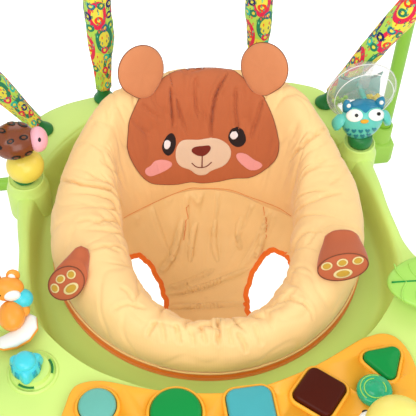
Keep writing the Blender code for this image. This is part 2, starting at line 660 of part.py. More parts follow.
def toys():
    """The toys on the rim, each on a pin in its boss."""
    # owl with a see-through drum of beads behind its head
    x, y = OWL_AT
    owl = ball("owl_body", (x, y, BOSS_TOP + 0.0335), (0.030, 0.021, 0.033), AQUA)
    pin = rod("owl_pin", (x, y, SPIGOT_LOW), (x, y, BOSS_TOP + 0.011), SPIGOT_R, sides=16)
    neck = turned("owl_neck", [(0.017, BOSS_TOP + CLEAR), (0.018, BOSS_TOP + 0.012)], centre=(x, y, 0))
    drum_x, drum_y, drum_z = x + 0.006, y + 0.050, BOSS_TOP + 0.052
    axle = rod("owl_axle", (drum_x, y + 0.005, drum_z), (drum_x, drum_y + 0.024, drum_z), 0.0035, sides=12)
    tufts = [turned(f"owl_tuft_{i}", [(0.011, 0), (0.0015, 0.022)], centre=(x + i * 0.015, y, drum_z),
                    axis=(i * 0.35, 0, 1), sides=10) for i in (-1, 1)]
    combine(owl, [pin, neck, axle] + tufts)
    drum = turned("owl_drum", [(0.010, -0.016), (0.034, -0.0155), (0.045, -0.011), (0.050, 0), (0.045, 0.011),
                               (0.034, 0.0155), (0.010, 0.016)], CLEAR_DRUM, (drum_x, drum_y, drum_z),
                  (0, 1, 0), 28)
    combine(drum, cuts=(rod("drum_bore", (drum_x, drum_y - 0.03, drum_z), (drum_x, drum_y + 0.03, drum_z),
                            0.0035 + CLEAR, sides=12),))

    # bug standing on a ball
    x = -OWL_AT[0]
    bug_base = ball("bug_base", (x, y, BOSS_TOP + 0.0245), (0.023, 0.023, 0.0235), YELLOW, 14, 7)
    combine(bug_base, (rod("bug_base_pin", (x, y, SPIGOT_LOW), (x, y, BOSS_TOP + 0.016), SPIGOT_R, sides=16),
                       turned("bug_base_neck", [(0.014, BOSS_TOP + CLEAR), (0.018, BOSS_TOP + 0.010)],
                              centre=(x, y, 0)),
                       rod("bug_post", (x, y, BOSS_TOP + 0.026), (x, y, BOSS_TOP + 0.062), 0.0045, sides=12)))
    bug = ball("bug", (x - 0.001, y, BOSS_TOP + 0.069), (0.027, 0.025, 0.0210), BROWN, 14, 7)
    combine(bug, (ball("bug_head", (x + 0.025, y - 0.004, BOSS_TOP + 0.071), (0.013, 0.014, 0.015), sides=12,
                       rows=6),),
            (rod("bug_bore", (x, y, BOSS_TOP + 0.036), (x, y, BOSS_TOP + 0.0625), 0.0045 + CLEAR, sides=12),))

    # fox holding a ball, on a stalk
    (x, y), top = FOX_AT, TRAY_TOP + 0.006
    fox_shape = [(0.024 * math.cos(math.tau * j / 20) * (1.0 + 0.25 * math.sin(math.tau * j / 20)),
                  0.040 * math.sin(math.tau * j / 20)) for j in range(20)]
    place = Matrix.Rotation(math.radians(40), 4, "X")
    place.translation = (x + 0.006, y + 0.004, top + 0.034)
    fox = padded("fox", fox_shape, 0.014, place, ORANGE)
    combine(fox, (rod("fox_pin", (x, y, SPIGOT_LOW), (x, y, top + 0.024), 0.006 - CLEAR, sides=12),
                  turned("fox_foot", [(0.010, top + CLEAR), (0.008, top + 0.012)], centre=(x, y, 0), sides=14),
                  ball("fox_ball", (x + 0.018, y + 0.010, top + 0.032), (0.0135, 0.0135, 0.0135), sides=14, rows=7),
                  ball("fox_tail", (x + 0.025, y - 0.028, top + 0.014), (0.014, 0.016, 0.011), sides=12, rows=6)))

    # ribbed knob
    (x, y), top = KNOB_AT, TRAY_TOP + 0.010
    rings = []
    for z, r in ((top + CLEAR, 0.0205), (top + 0.014, 0.0195), (top + 0.018, 0.017), (top + 0.019, 0.011)):
        rings.append([Vector((x + (r + 0.0010 * math.cos(j * math.pi)) * math.cos(math.tau * j / 32),
                              y + (r + 0.0010 * math.cos(j * math.pi)) * math.sin(math.tau * j / 32), z))
                      for j in range(32)])
    knob = loft("knob", rings, CYAN)
    combine(knob, (rod("knob_pin", (x, y, SPIGOT_LOW), (x, y, top + 0.004), SPIGOT_R, sides=16),))

    # leaf that turns on its stalk
    (x, y), top = LEAF_AT, TRAY_TOP + 0.008
    leaf_shape = [(-0.045 * math.cos(math.tau * j / 24) * (1 if math.cos(math.tau * j / 24) > 0 else 0.8),
                   0.040 * math.sin(math.tau * j / 24) * (1 - 0.22 * math.cos(math.tau * j / 24)))
                  for j in range(24)]
    place = Matrix.Translation((x - 0.004, y, top + 0.016)) @ Matrix.Rotation(math.radians(-6), 4, "Z")
    leaf = padded("leaf", leaf_shape, 0.009, place, LEAF)
    combine(leaf, (rod("leaf_pin", (x, y, SPIGOT_LOW), (x, y, top + 0.017), 0.006 - CLEAR, sides=12),
                   turned("leaf_foot", [(0.010, top + CLEAR), (0.008, top + 0.013)], centre=(x, y, 0), sides=14)))

    # round-headed chick
    (x, y), top = CHICK_AT, TRAY_TOP + 0.008
    chick = ball("chick", (x, y, top + 0.040), (0.027, 0.027, 0.0265), CHICK, 16, 8)
    combine(chick, (rod("chick_pin", (x, y, SPIGOT_LOW), (x, y, top + 0.010), SPIGOT_R, sides=14),
                    turned("chick_neck", [(0.014, top + CLEAR), (0.016, top + 0.006), (0.013, top + 0.020)],
                           centre=(x, y, 0), sides=19),
                    ball("chick_beak", (x - 0.004, y - 0.026, top + 0.040), (0.004, 0.007, 0.003), sides=8,
                         rows=5)))

    # see-through roller
    (x, y), low = ROLLER_AT, PANEL_TOP + 2 * CLEAR
    roller = turned("roller", [(0.0200, low), (0.0205, low + 0.005), (0.0190, low + 0.0095), (0.0120, low + 0.0115)],
                    ROLLER, (x, y, 0), sides=24)
    combine(roller, (rod("roller_pin", (x, y, SPIGOT_LOW), (x, y, low + 0.004), 0.006 - CLEAR, sides=12),))


def main():
    clear_scene()
    frame_parts()
    straps()
    tray()
    seat_parts()
    key_panel()
    toys()


main()
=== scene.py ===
"""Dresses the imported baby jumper: bear seat, lime play tray, rim toys, printed straps and tube frame."""

import logging
import math
from dataclasses import dataclass, field
from enum import Enum
from typing import Callable, Iterable, Sequence, Union

import bmesh
import bpy
from mathutils import Matrix, Vector, noise
from mathutils.bvhtree import BVHTree
from mathutils.kdtree import KDTree


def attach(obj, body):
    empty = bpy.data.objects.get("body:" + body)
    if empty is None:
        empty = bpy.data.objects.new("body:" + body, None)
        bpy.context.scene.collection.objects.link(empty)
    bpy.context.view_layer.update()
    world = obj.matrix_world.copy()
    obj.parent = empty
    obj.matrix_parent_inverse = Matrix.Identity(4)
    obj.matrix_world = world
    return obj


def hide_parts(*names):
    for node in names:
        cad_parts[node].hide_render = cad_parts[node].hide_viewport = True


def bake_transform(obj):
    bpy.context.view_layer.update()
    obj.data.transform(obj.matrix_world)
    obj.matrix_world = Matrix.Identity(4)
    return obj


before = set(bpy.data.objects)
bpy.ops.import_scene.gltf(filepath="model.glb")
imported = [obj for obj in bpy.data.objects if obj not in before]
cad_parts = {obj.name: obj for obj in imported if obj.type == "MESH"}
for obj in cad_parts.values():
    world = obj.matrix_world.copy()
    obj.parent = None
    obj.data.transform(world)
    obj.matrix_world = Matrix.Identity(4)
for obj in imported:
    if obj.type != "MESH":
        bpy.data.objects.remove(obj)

LOG = logging.getLogger("baby_jumper")
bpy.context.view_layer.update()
MM = 0.001
Piece = bpy.types.Object
Point = tuple[float, float]
Socket = Union[bpy.types.NodeSocket, float, tuple]
Tree = bpy.types.NodeTree
UP = Vector((0, 0, 1))
HANDS = ((-1, "left"), (1, "right"))
AXIS_GAP = 1e-5


# Finishes

def linear(colour: str) -> tuple[float, float, float, float]:
    """Turns an sRGB hex colour into linear values.

    Args:
        colour: six hex digits after a hash sign.

    Returns:
        Red, green, blue and an alpha of 1.
    """
    parts = [int(colour[i:i + 2], 16) / 255 for i in (1, 3, 5)]
    return (*[c / 12.92 if c <= 0.04045 else ((c + 0.055) / 1.055) ** 2.4 for c in parts], 1.0)


def add(tree: Tree, kind: str, settings: dict | None = None, inputs: dict | None = None) -> bpy.types.Node:
    """Adds a node with its settings and links.

    Args:
        tree: the tree that gets the node.
        kind: the node's type.
        settings: its properties by name.
        inputs: its inputs by name or number, each a value or an output to link.

    Returns:
        The node.
    """
    made = tree.nodes.new(kind)
    for key, value in (settings or {}).items():
        setattr(made, key, value)
    for key, value in (inputs or {}).items():
        if isinstance(value, bpy.types.NodeSocket):
            tree.links.new(value, made.inputs[key])
        else:
            made.inputs[key].default_value = value
    return made


def blank(name: str) -> tuple[bpy.types.Material, Tree, bpy.types.Node]:
    """A new material with its tree and its shader.

    Args:
        name: the material's name.

    Returns:
        The material, its tree and its shader.
    """
    made = bpy.data.materials.new(name)
    made.use_nodes = True
    return made, made.node_tree, made.node_tree.nodes["Principled BSDF"]


def mixed(tree: Tree, factor: Socket, first: Socket, second: Socket, blend: str = "MIX") -> Socket:
    """The output of a colour mix."""
    return add(tree, "ShaderNodeMix", {"data_type": "RGBA", "blend_type": blend},
        {0: factor, 6: first, 7: second}).outputs[2]


def worked(tree: Tree, operation: str, first: Socket, second: Socket) -> Socket:
    """The output of a sum."""
    return add(tree, "ShaderNodeMath", {"operation": operation}, {0: first, 1: second}).outputs[0]


def noised(tree: Tree, place: Socket, size: float, detail: float) -> Socket:
    """Smooth noise with lumps of a size in metres."""
    return add(tree, "ShaderNodeTexNoise", inputs={"Vector": place, "Scale": 1 / size,
        "Detail": detail}).outputs["Fac"]


def spread(tree: Tree, value: Socket, low: float, high: float) -> Socket:
    """A value from 0 to 1 spread between low and high."""
    return add(tree, "ShaderNodeMapRange", inputs={"Value": value, "To Min": low,
        "To Max": high}).outputs["Result"]


def tinted(tree: Tree, colour: str, mottle: float, cloud: Socket) -> Socket:
    """A colour that darkens a little where cloud is low."""
    base = linear(colour)
    return mixed(tree, cloud, tuple(c * (1 - 2 * mottle) for c in base[:3]) + (1.0,), base)


def wire(tree: Tree, shader: bpy.types.Node, colour: Socket, relief: tuple[Socket, float, float],
        values: dict[str, float]) -> None:
    """Gives a shader its colour, its relief and its plain values.

    Args:
        tree: the material's tree.
        shader: its shader.
        colour: the colour's output.
        relief: the height's output, the strength of the bump and its depth in metres.
        values: the sockets that are the same all over.
    """
    tree.links.new(colour, shader.inputs["Base Color"])
    height, strength, depth = relief
    bump = add(tree, "ShaderNodeBump", inputs={"Height": height, "Strength": strength, "Distance": depth})
    tree.links.new(bump.outputs["Normal"], shader.inputs["Normal"])
    for key, value in values.items():
        shader.inputs[key].default_value = value


@dataclass(frozen=True)
class Moulded:
    """Injection-moulded ABS or PP: even colour, a soft gloss and a very fine spark-eroded grain.

    The eye gets broad soft highlights, slightly paler where the wall is thin."""

    name: str
    colour: str
    roughness: float = 0.36
    coat: float = 0.12
    mottle: float = 0.05
    grain_mm: float = 1.6
    grain: float = 0.04
    alpha: float = 1.0
    gloss: float = 0.3
    cloud: float = 0.07

    def make(self) -> bpy.types.Material:
        """The material.

        Returns:
            The material.
        """
        made, tree, shader = blank(self.name)
        place = add(tree, "ShaderNodeTexCoord").outputs["Object"]
        slow, fine = noised(tree, place, self.cloud, 2.0), noised(tree, place, self.grain_mm * MM, 1.0)
        rough = spread(tree, slow, self.roughness * 0.88, self.roughness * 1.15)
        tree.links.new(rough, shader.inputs["Roughness"])
        wire(tree, shader, tinted(tree, self.colour, self.mottle, slow), (fine, self.grain, 0.4 * MM),
            {"Coat Weight": self.coat, "Coat Roughness": 0.18, "IOR": 1.5, "Specular IOR Level": self.gloss,
            "Alpha": self.alpha})
        return made


@dataclass(frozen=True)
class Woven:
    """Plain-woven polyester over wadding: a tight square weave with a soft sheen.

    The real threads lie 0.25 mm apart, too fine to show, so they are drawn 1.3 mm apart."""

    name: str
    colour: str
    weave_mm: float = 1.3
    sheen: float = 0.25
    mottle: float = 0.06
    depth: float = 0.22
    cloud: float = 0.045

    def make(self) -> bpy.types.Material:
        """The material.

        Returns:
            The material.
        """
        made, tree, shader = blank(self.name)
        place = add(tree, "ShaderNodeTexCoord")
        threads = [add(tree, "ShaderNodeTexWave", {"bands_direction": way}, {"Vector": place.outputs["UV"],
            "Scale": 0.314 / (self.weave_mm * MM), "Distortion": 0.6, "Detail": 1.0}).outputs["Fac"]
            for way in ("X", "Y")]
        weave = worked(tree, "MULTIPLY", *threads)
        tint = tinted(tree, self.colour, self.mottle, noised(tree, place.outputs["Object"], self.cloud, 3.0))
        shade = mixed(tree, 1.0, tint, spread(tree, weave, 0.94, 1.03), "MULTIPLY")
        wire(tree, shader, shade, (weave, self.depth, 0.3 * MM),
            {"Roughness": 0.82, "Sheen Weight": self.sheen, "Sheen Roughness": 0.4})
        return made


@dataclass(frozen=True)
class PrintedCotton:
    """Screen-printed cotton poplin: a matt lime ground with scattered dots, rings and leaf marks.

    The middle motifs lie about 17 mm apart, each in one flat ink with a paler heart. Each layer is its
    motifs' size, their outer and inner reach in cells, their stretch and their shift."""

    name: str
    ground: str
    second: str
    motif_mm: float = 17.0
    inks: tuple = ("#EE3B0E", "#0E1E63", "#16805A", "#E3164A", "#0F6F86", "#1DBFA6")
    layers: tuple = ((1.9, 0.44, 0.27, (1.0, 0.62, 1.0), 1.3), (1.0, 0.36, 0.15, (1.0, 1.0, 1.0), 0.0),
        (0.62, 0.24, 0.08, (2.6, 1.0, 1.0), 3.7))

    def make(self) -> bpy.types.Material:
        """The material.

        Returns:
            The material.
        """
        made, tree, shader = blank(self.name)
        uv = add(tree, "ShaderNodeTexCoord").outputs["UV"]
        split = worked(tree, "GREATER_THAN", noised(tree, uv, 0.075, 0.0), 0.52)
        colour = mixed(tree, split, linear(self.ground), linear(self.second))
        for size, outer, inner, stretch, shift in self.layers:
            place = add(tree, "ShaderNodeMapping", inputs={"Vector": uv, "Location": (shift, shift, 0),
                "Rotation": (0, 0, shift), "Scale": stretch})
            cells = add(tree, "ShaderNodeTexVoronoi", {"voronoi_dimensions": "2D"},
                {"Vector": place.outputs[0], "Scale": 1 / (self.motif_mm * size * MM), "Randomness": 0.75})
            draw = add(tree, "ShaderNodeSeparateColor", inputs={0: cells.outputs["Color"]})
            ramp = add(tree, "ShaderNodeValToRGB", inputs={0: draw.outputs[0]})
            ramp.color_ramp.interpolation = "CONSTANT"
            stops = ramp.color_ramp.elements
            while len(stops) < len(self.inks):
                stops.new(0.5)
            for i, ink in enumerate(self.inks):
                stops[i].position = i / len(self.inks)
                stops[i].color = linear(ink)
            inside, heart = (worked(tree, "LESS_THAN", cells.outputs["Distance"], reach)
                for reach in (outer, inner))
            shown = worked(tree, "MULTIPLY", inside, worked(tree, "GREATER_THAN", draw.outputs[1], 0.25))
            colour = mixed(tree, shown, colour, mixed(tree, heart, ramp.outputs[0], linear(self.second)))
        wire(tree, shader, colour, (noised(tree, uv, 1 / 900.0, 1.0), 0.15, 0.3 * MM),
            {"Roughness": 0.85, "Sheen Weight": 0.15})
        return made


@dataclass(frozen=True)
class SpringSteel:
    """Drawn music wire, zinc plated: bright, slightly satin along the draw."""

    name: str
    colour: str

    def make(self) -> bpy.types.Material:
        """The material.

        Returns:
            The material.
        """
        made, tree, shader = blank(self.name)
        streak = noised(tree, add(tree, "ShaderNodeTexCoord").outputs["UV"], 1 / 700.0, 2.0)
        tree.links.new(spread(tree, streak, 0.25, 0.42), shader.inputs["Roughness"])
        shader.inputs["Base Color"].default_value = linear(self.colour)
        shader.inputs["Metallic"].default_value = 1.0
        return made


class Finish(Enum):
    """Every finish of the jumper, by what it is and where it goes."""

    CREAM = Woven("woven_polyester_apricot", "#FFD392")
    # Painted light: the bucket's cloth is set paler than the pad's to brighten the shade inside the bowl.
    BUCKET = Woven("woven_polyester_apricot_painted_light", "#FFDA9A")
    BROWN = Woven("woven_polyester_bear_brown", "#C2673A")
    EAR = Woven("woven_polyester_ear_brown", "#D98858")
    PAW = Woven("woven_polyester_paw_brown", "#C06038")
    MUZZLE = Woven("printed_polyester_muzzle", "#EBCBAE")
    BLUSH = Woven("printed_polyester_cheek", "#F5A39F")
    EYE = Woven("printed_polyester_eye", "#1E0508", sheen=0.05)
    EYE_LIGHT = Woven("printed_polyester_eye_light", "#F7EEF0", sheen=0.05)
    NOSE = Woven("printed_polyester_nose", "#7A1E0B", sheen=0.05)
    PAD_RIM = Woven("printed_polyester_paw_pad_rim", "#EBD79A")
    PAD = Woven("printed_polyester_paw_pad", "#C99C2E")
    BINDING = Woven("bias_binding_orange", "#FF7C1E")
    SEAM = Woven("sewing_thread_orange", "#E98A45")
    SEAM_DARK = Woven("sewing_thread_brown", "#7C3F1E")
    TRAY = Moulded("blow_moulded_polypropylene_lime", "#D2EE82", roughness=0.4, coat=0.08)
    BOSS = Moulded("moulded_abs_lime_boss", "#D0EC80", roughness=0.36)
    PANEL = Moulded("moulded_abs_amber", "#FBB233", roughness=0.33)
    KEY_PALE = Moulded("moulded_abs_grey_teal", "#68B6A8", roughness=0.3)
    KEY_GREEN = Moulded("moulded_abs_leaf_green", "#079040", roughness=0.32, coat=0.0, gloss=0.2)
    KEY_BLUE = Moulded("moulded_abs_lake_blue", "#45A9B0", roughness=0.3)
    KEY_BROWN = Moulded("moulded_abs_cocoa", "#4A1406", roughness=0.34, coat=0.0, gloss=0.12)
    RING = Moulded("moulded_abs_orange_ring", "#F98A45", roughness=0.4)
    HOOK = Moulded("moulded_nylon_dark_green", "#1E7A3E", roughness=0.42)
    FRAME = Moulded("powder_coated_steel_lime", "#8FC63D", roughness=0.38, coat=0.25, grain=0.12)
    JOINT = Moulded("moulded_nylon_lime", "#A5D456", roughness=0.45)
    AQUA = Moulded("moulded_abs_aqua", "#62CCC0", roughness=0.28, coat=0.3)
    BLUE = Moulded("moulded_abs_petrol_blue", "#1B7FA3", roughness=0.25, coat=0.3)
    WHITE = Moulded("pad_printed_white", "#F4F6F2", roughness=0.3)
    BLACK = Moulded("pad_printed_black", "#140F10", roughness=0.3)
    AMBER = Moulded("moulded_abs_beak_amber", "#F3A81D", roughness=0.3)
    PETROL = Moulded("pad_printed_petrol", "#1C8295", roughness=0.3)
    CLEAR = Moulded("clear_polystyrene", "#DCD6D3", roughness=0.06, coat=0.6, mottle=0.0, grain=0.0,
        alpha=0.24)
    BEAD_YELLOW = Moulded("moulded_bead_yellow", "#F8DA3E", roughness=0.25)
    BEAD_GREEN = Moulded("moulded_bead_green", "#A9D65C", roughness=0.25)
    YELLOW = Moulded("moulded_abs_lemon", "#F3DC5A", roughness=0.3, coat=0.3)
    COCOA = Moulded("moulded_abs_bug_brown", "#7E3D1C", roughness=0.26, coat=0.4)
    PINK = Moulded("moulded_abs_pink", "#F7B3C0", roughness=0.3)
    ORANGE = Moulded("moulded_abs_fox_orange", "#F9A23A", roughness=0.3)
    CYAN = Moulded("moulded_abs_cyan", "#46D3E2", roughness=0.28, coat=0.3)
    CYAN_DEEP = Moulded("moulded_abs_deep_cyan", "#1FA6BC", roughness=0.3)
    LEAF = Moulded("moulded_abs_leaf_lime", "#A9DE62", roughness=0.32)
    CHICK = Moulded("moulded_abs_pale_yellow", "#F7E778", roughness=0.3)
    ROLLER = Moulded("tinted_clear_green", "#1FC48A", roughness=0.1, coat=0.6, grain=0.0, alpha=0.72)
    PRINT = PrintedCotton("printed_cotton_leafy_dots", "#B4DC52", "#E9DF45")
    STEEL = SpringSteel("zinc_plated_spring_wire", "#B9BBBD")

    def material(self) -> bpy.types.Material:
        """This finish's material, made once."""
        return bpy.data.materials.get(self.value.name) or self.value.make()


# Shapes

def angles(count: int) -> list[float]:
    """Even steps round one turn."""
    return [math.tau * k / count for k in range(count)]


def polar(radius: float, angle: float, z: float = 0.0) -> Vector:
    """The point at a radius and an angle about the upright axis."""
    return Vector((radius * math.cos(angle), radius * math.sin(angle), z))


def oval(x: float, y: float, wide: float, tall: float, count: int = 10, lean: float = 0.0) -> list[Point]:
    """Points round an ellipse, turned by lean.

    Args:
        x, y: its middle.
        wide, tall: its half sizes.
        count: how many points.
        lean: its turn in radians.

    Returns:
        The points.
    """
    c, s = math.cos(lean), math.sin(lean)
    return [(x + wide * math.cos(a) * c - tall * math.sin(a) * s, y + wide * math.cos(a) * s + tall
        * math.sin(a) * c) for a in angles(count)]


def swirl(angle: float, lumps: float, level: float) -> float:
    """Smooth noise from -1 to 1 that closes round a turn."""
    return noise.noise(Vector((math.cos(angle) * lumps, math.sin(angle) * lumps, level)))


def band(first: int, second: int, count: int) -> list[tuple[int, ...]]:
    """The faces between the rings of count corners that start at first and at second."""
    return [(first + j, first + (j + 1) % count, second + (j + 1) % count, second + j) for j in range(count)]


def linked(name: str, data: bpy.types.ID) -> Piece:
    """A new object in the scene.

    Args:
        name: the object's name.
        data: its mesh, lamp or camera.

    Returns:
        The object.
    """
    obj = bpy.data.objects.new(name, data)
    bpy.context.scene.collection.objects.link(obj)
    return obj


def mesh_piece(name: str, points: Iterable, faces: Iterable, finish: Finish, uvs: Callable | None = None,
        fix: bool = True) -> Piece:
    """A smooth mesh with its faces turned outwards.

    Args:
        name: the piece's name.
        points: its corners in metres.
        faces: its faces as corner numbers.
        finish: its finish.
        uvs: gives the pattern place of a corner number, in metres.
        fix: recalculates the normals.

    Returns:
        The object.
    """
    mesh = bpy.data.meshes.new(name)
    mesh.from_pydata([tuple(p) for p in points], [], [tuple(f) for f in faces])
    layer = mesh.uv_layers.new(name="cloth")
    if uvs:
        for loop in mesh.loops:
            layer.data[loop.index].uv = uvs(loop.vertex_index)
    if fix:
        work = bmesh.new()
        work.from_mesh(mesh)
        bmesh.ops.recalc_face_normals(work, faces=work.faces)
        if work.calc_volume(signed=True) < 0:
            bmesh.ops.reverse_faces(work, faces=work.faces)
        work.to_mesh(mesh)
        work.free()
    mesh.polygons.foreach_set("use_smooth", [True] * len(mesh.polygons))
    mesh.materials.append(finish.material())
    return linked(name, mesh)


def skin(name: str, rings: Sequence[Sequence[Vector]], finish: Finish, wrap: bool = False,
        cap: bool = True) -> Piece:
    """Skins closed rings of equal counts, capped at the ends or joined into a loop.

    Args:
        name: the piece's name.
        rings: the rings, each a list of points.
        finish: its finish.
        wrap: joins the last ring to the first.
        cap: closes the ends.

    Returns:
        The object, its pattern place measured along and round it.
    """
    count = len(rings[0])
    points, faces, along = [p for ring in rings for p in ring], [], [0.0]
    for i in range(len(rings) if wrap else len(rings) - 1):
        faces += band(i * count, (i + 1) % len(rings) * count, count)
    if cap and not wrap:
        for base, ring in ((0, rings[0]), ((len(rings) - 1) * count, rings[-1])):
            faces += [(base + j, base + (j + 1) % count, len(points)) for j in range(count)]
            points.append(sum(ring, Vector()) / count)
    for before, ring in zip(rings, rings[1:]):
        along.append(along[-1] + (ring[0] - before[0]).length)
    girth = max(sum((ring[j] - ring[j - 1]).length for j in range(count))
        for ring in rings[::max(1, len(rings) // 4)])
    made = mesh_piece(name, points, faces, finish)
    place = made.data.uv_layers[0].data
    for face in made.data.polygons:
        numbers = [made.data.loops[k].vertex_index for k in face.loop_indices]
        columns = [v % count if v < len(rings) * count else 0 for v in numbers]
        seam = max(columns) - min(columns) > count / 2
        for k, v, c in zip(face.loop_indices, numbers, columns):
            row = min(v // count, len(rings) - 1)
            place[k].uv = ((c + (count if seam and c < count / 2 else 0)) / count * girth, along[row])
    return made


def turned(name: str, profile: Sequence[Point], finish: Finish, centre: Sequence[float] = (0, 0, 0),
        axis: Sequence[float] = (0, 0, 1), sides: int = 48, wrap: bool = False) -> Piece:
    """A piece turned on a lathe.

    Args:
        name: the piece's name.
        profile: its (radius, height) from one end to the other, in metres.
        finish: its finish.
        centre: where its axis starts.
        axis: which way its axis runs.
        sides: the number of facets.
        wrap: the profile is a closed loop off the axis.

    Returns:
        The object.
    """
    spin, middle = UP.rotation_difference(Vector(axis)).to_matrix(), Vector(centre)
    if wrap:
        rings = [[middle + spin @ polar(r, a, z) for r, z in profile] for a in angles(sides)]
    else:
        rings = [[middle + spin @ polar(max(r, AXIS_GAP), a, z) for a in angles(sides)] for r, z in profile]
    return skin(name, rings, finish, wrap)


def curve_between(p: Point, a: Point, b: Point, n: Point, t: float) -> Point:
    """The point at t between a and b on the smooth line p, a, b, n, by Catmull and Rom's rule."""
    return tuple(0.5 * (2 * a[k] + (b[k] - p[k]) * t + (2 * p[k] - 5 * a[k] + 4 * b[k] - n[k]) * t * t
        + (3 * a[k] - p[k] - 3 * b[k] + n[k]) * t ** 3) for k in range(len(a)))


def rounded(points: Sequence[Point], steps: int = 4) -> list[Point]:
    """A smooth line through open points.

    Args:
        points: what it passes through.
        steps: points to each span.

    Returns:
        The line's points.
    """
    last = len(points) - 1
    return [curve_between(points[max(i - 1, 0)], points[i], points[i + 1], points[min(i + 2, last)],
        s / steps) for i in range(last) for s in range(steps)] + [tuple(points[-1])]


def looped(points: Sequence[Point], steps: int = 6) -> list[Point]:
    """A smooth closed line through points.

    Args:
        points: what it passes through.
        steps: points to each span.

    Returns:
        The line's points.
    """
    count = len(points)
    return [curve_between(points[i - 1], points[i], points[(i + 1) % count], points[(i + 2) % count],
        s / steps) for i in range(count) for s in range(steps)]


def piped(name: str, path: Sequence, radius: float, finish: Finish, sides: int = 16, closed: bool = False,
        flat: float = 1.0) -> Piece:
    """A round or flattened cord along a path, its section carried along without twisting.

    Args:
        name: the piece's name.
        path: its middle line in metres.
        radius: half its width.
        finish: its finish.
        sides: points to each section.
        closed: joins its ends.
        flat: its height to its width.

    Returns:
        The object.
    """
    path = [Vector(p) for p in path]
    count = len(path)
    tangents = []
    for i in range(count):
        before = path[i - 1] if i or closed else path[i]
        after = path[(i + 1) % count] if i < count - 1 or closed else path[i]
        tangents.append((after - before).normalized())
    side = tangents[0].cross(UP)
    side = side.normalized() if side.length > 1e-3 else tangents[0].orthogonal().normalized()
    rings = []
    for point, tangent in zip(path, tangents):
        side = (side - tangent * side.dot(tangent)).normalized()
        up = tangent.cross(side)
        rings.append([point + side * (math.cos(a) * radius) + up * (math.sin(a) * radius * flat)
            for a in angles(sides)])
    return skin(name, rings, finish, wrap=closed)


def egg(name: str, centre: Sequence[float], radii: Sequence[float], finish: Finish, sides: int = 40,
        rows: int = 24, shape: Callable | None = None) -> Piece:
    """An ellipsoid, its points moved by shape where one is given.

    Args:
        name: the piece's name.
        centre: its middle.
        radii: its three half sizes.
        finish: its finish.
        sides, rows: points round it and up it.
        shape: moves a point about the middle.

    Returns:
        The object.
    """
    rings = []
    for i in range(rows + 1):
        t = math.pi * i / rows
        across = max(math.sin(t), 1e-3)
        ring = [Vector((radii[0] * across * math.cos(a), radii[1] * across * math.sin(a),
            -radii[2] * math.cos(t))) for a in angles(sides)]
        rings.append([Vector(centre) + (shape(p) if shape else p) for p in ring])
    return skin(name, rings, finish)


def edged(outline: Sequence[Point], low: float, high: float, edge: float, steps: int) -> list[list[Vector]]:
    """The rings of an upright wall on an anticlockwise outline, its top edge rounded inwards.

    Args:
        outline: corners in metres.
        low, high: its foot and top.
        edge: the rounding.
        steps: rings to the rounding.

    Returns:
        The rings, from the foot up.
    """
    count, inward = len(outline), []
    for i in range(count):
        way = Vector((*outline[(i + 1) % count], 0)) - Vector((*outline[i - 1], 0))
        inward.append(Vector((-way.y, way.x, 0)).normalized())
    rings = [[Vector((x, y, low)) for x, y in outline]]
    for s in range(steps + 1):
        t = math.pi / 2 * s / steps
        rings.append([Vector((x, y, high - edge + edge * math.sin(t))) + inward[i]
            * (edge * (1 - math.cos(t))) for i, (x, y) in enumerate(outline)])
    return rings


def button(name: str, outline: Sequence[Point], low: float, high: float, edge: float, finish: Finish,
        crown: float = 0.0, steps: int = 5) -> Piece:
    """An upright moulded piece on an anticlockwise outline, its top slightly crowned.

    Args:
        name: the piece's name.
        outline: corners in metres.
        low, high: its foot and top.
        edge: the rounding.
        finish: its finish.
        crown: how far its middle rises.
        steps: rings to the rounding.

    Returns:
        The object.
    """
    count = len(outline)
    mid = Vector((sum(p[0] for p in outline) / count, sum(p[1] for p in outline) / count, 0))
    rings = edged(outline, low, high, edge, steps)
    top = rings[-1]
    for scale in (0.8, 0.55, 0.3, 0.1):
        rings.append([mid + (p - Vector((mid.x, mid.y, high))) * scale + UP
            * (high + crown * (1 - scale ** 2)) for p in top])
    return skin(name, rings, finish)


def slab(name: str, outline: Sequence[Point], low: float, high: float, edge: float, finish: Finish) -> Piece:
    """A flat moulded plate on an anticlockwise outline of any shape.

    Args:
        name: the piece's name.
        outline: corners in metres.
        low, high: its foot and top.
        edge: the rounding.
        finish: its finish.

    Returns:
        The object.
    """
    count, steps = len(outline), 5
    points = [p for ring in edged(outline, low, high, edge, steps) for p in ring]
    faces = [face for k in range(steps + 1) for face in band(k * count, (k + 1) * count, count)]
    faces += [tuple(range(count))[::-1], tuple(range(len(points) - count, len(points)))]
    return creased(mesh_piece(name, points, faces, finish), 40)


def creased(obj: Piece, degrees: float) -> Piece:
    """Keeps the edges sharp where faces meet at more than an angle."""
    obj.data.set_sharp_from_angle(angle=math.radians(degrees))
    return obj


def joined(name: str, pieces: Sequence[Piece]) -> Piece:
    """Makes one object of several, each keeping its own material.

    Args:
        name: the new piece's name.
        pieces: what is joined.

    Returns:
        The object.
    """
    first = pieces[0]
    with bpy.context.temp_override(active_object=first, object=first, selected_objects=list(pieces),
            selected_editable_objects=list(pieces)):
        bpy.ops.object.join()
    first.name = name
    first.data.name = name
    return first


def applied(obj: Piece) -> Piece:
    """Turns an object's modifiers into plain mesh.

    Args:
        obj: the object.

    Returns:
        The same object.
    """
    graph = bpy.context.evaluated_depsgraph_get()
    mesh = bpy.data.meshes.new_from_object(obj.evaluated_get(graph), depsgraph=graph)
    obj.modifiers.clear()
    obj.data = mesh
    return obj


def cut(obj: Piece, tool: Piece) -> Piece:
    """Takes a tool's shape out of an object, and removes the tool.

    Args:
        obj: what is cut.
        tool: the shape taken out.

    Returns:
        The cut object.
    """
    step = obj.modifiers.new("cut", "BOOLEAN")
    step.operation = "DIFFERENCE"
    step.solver = "EXACT"
    step.object = tool
    applied(obj)
    bpy.data.objects.remove(tool, do_unlink=True)
    return obj


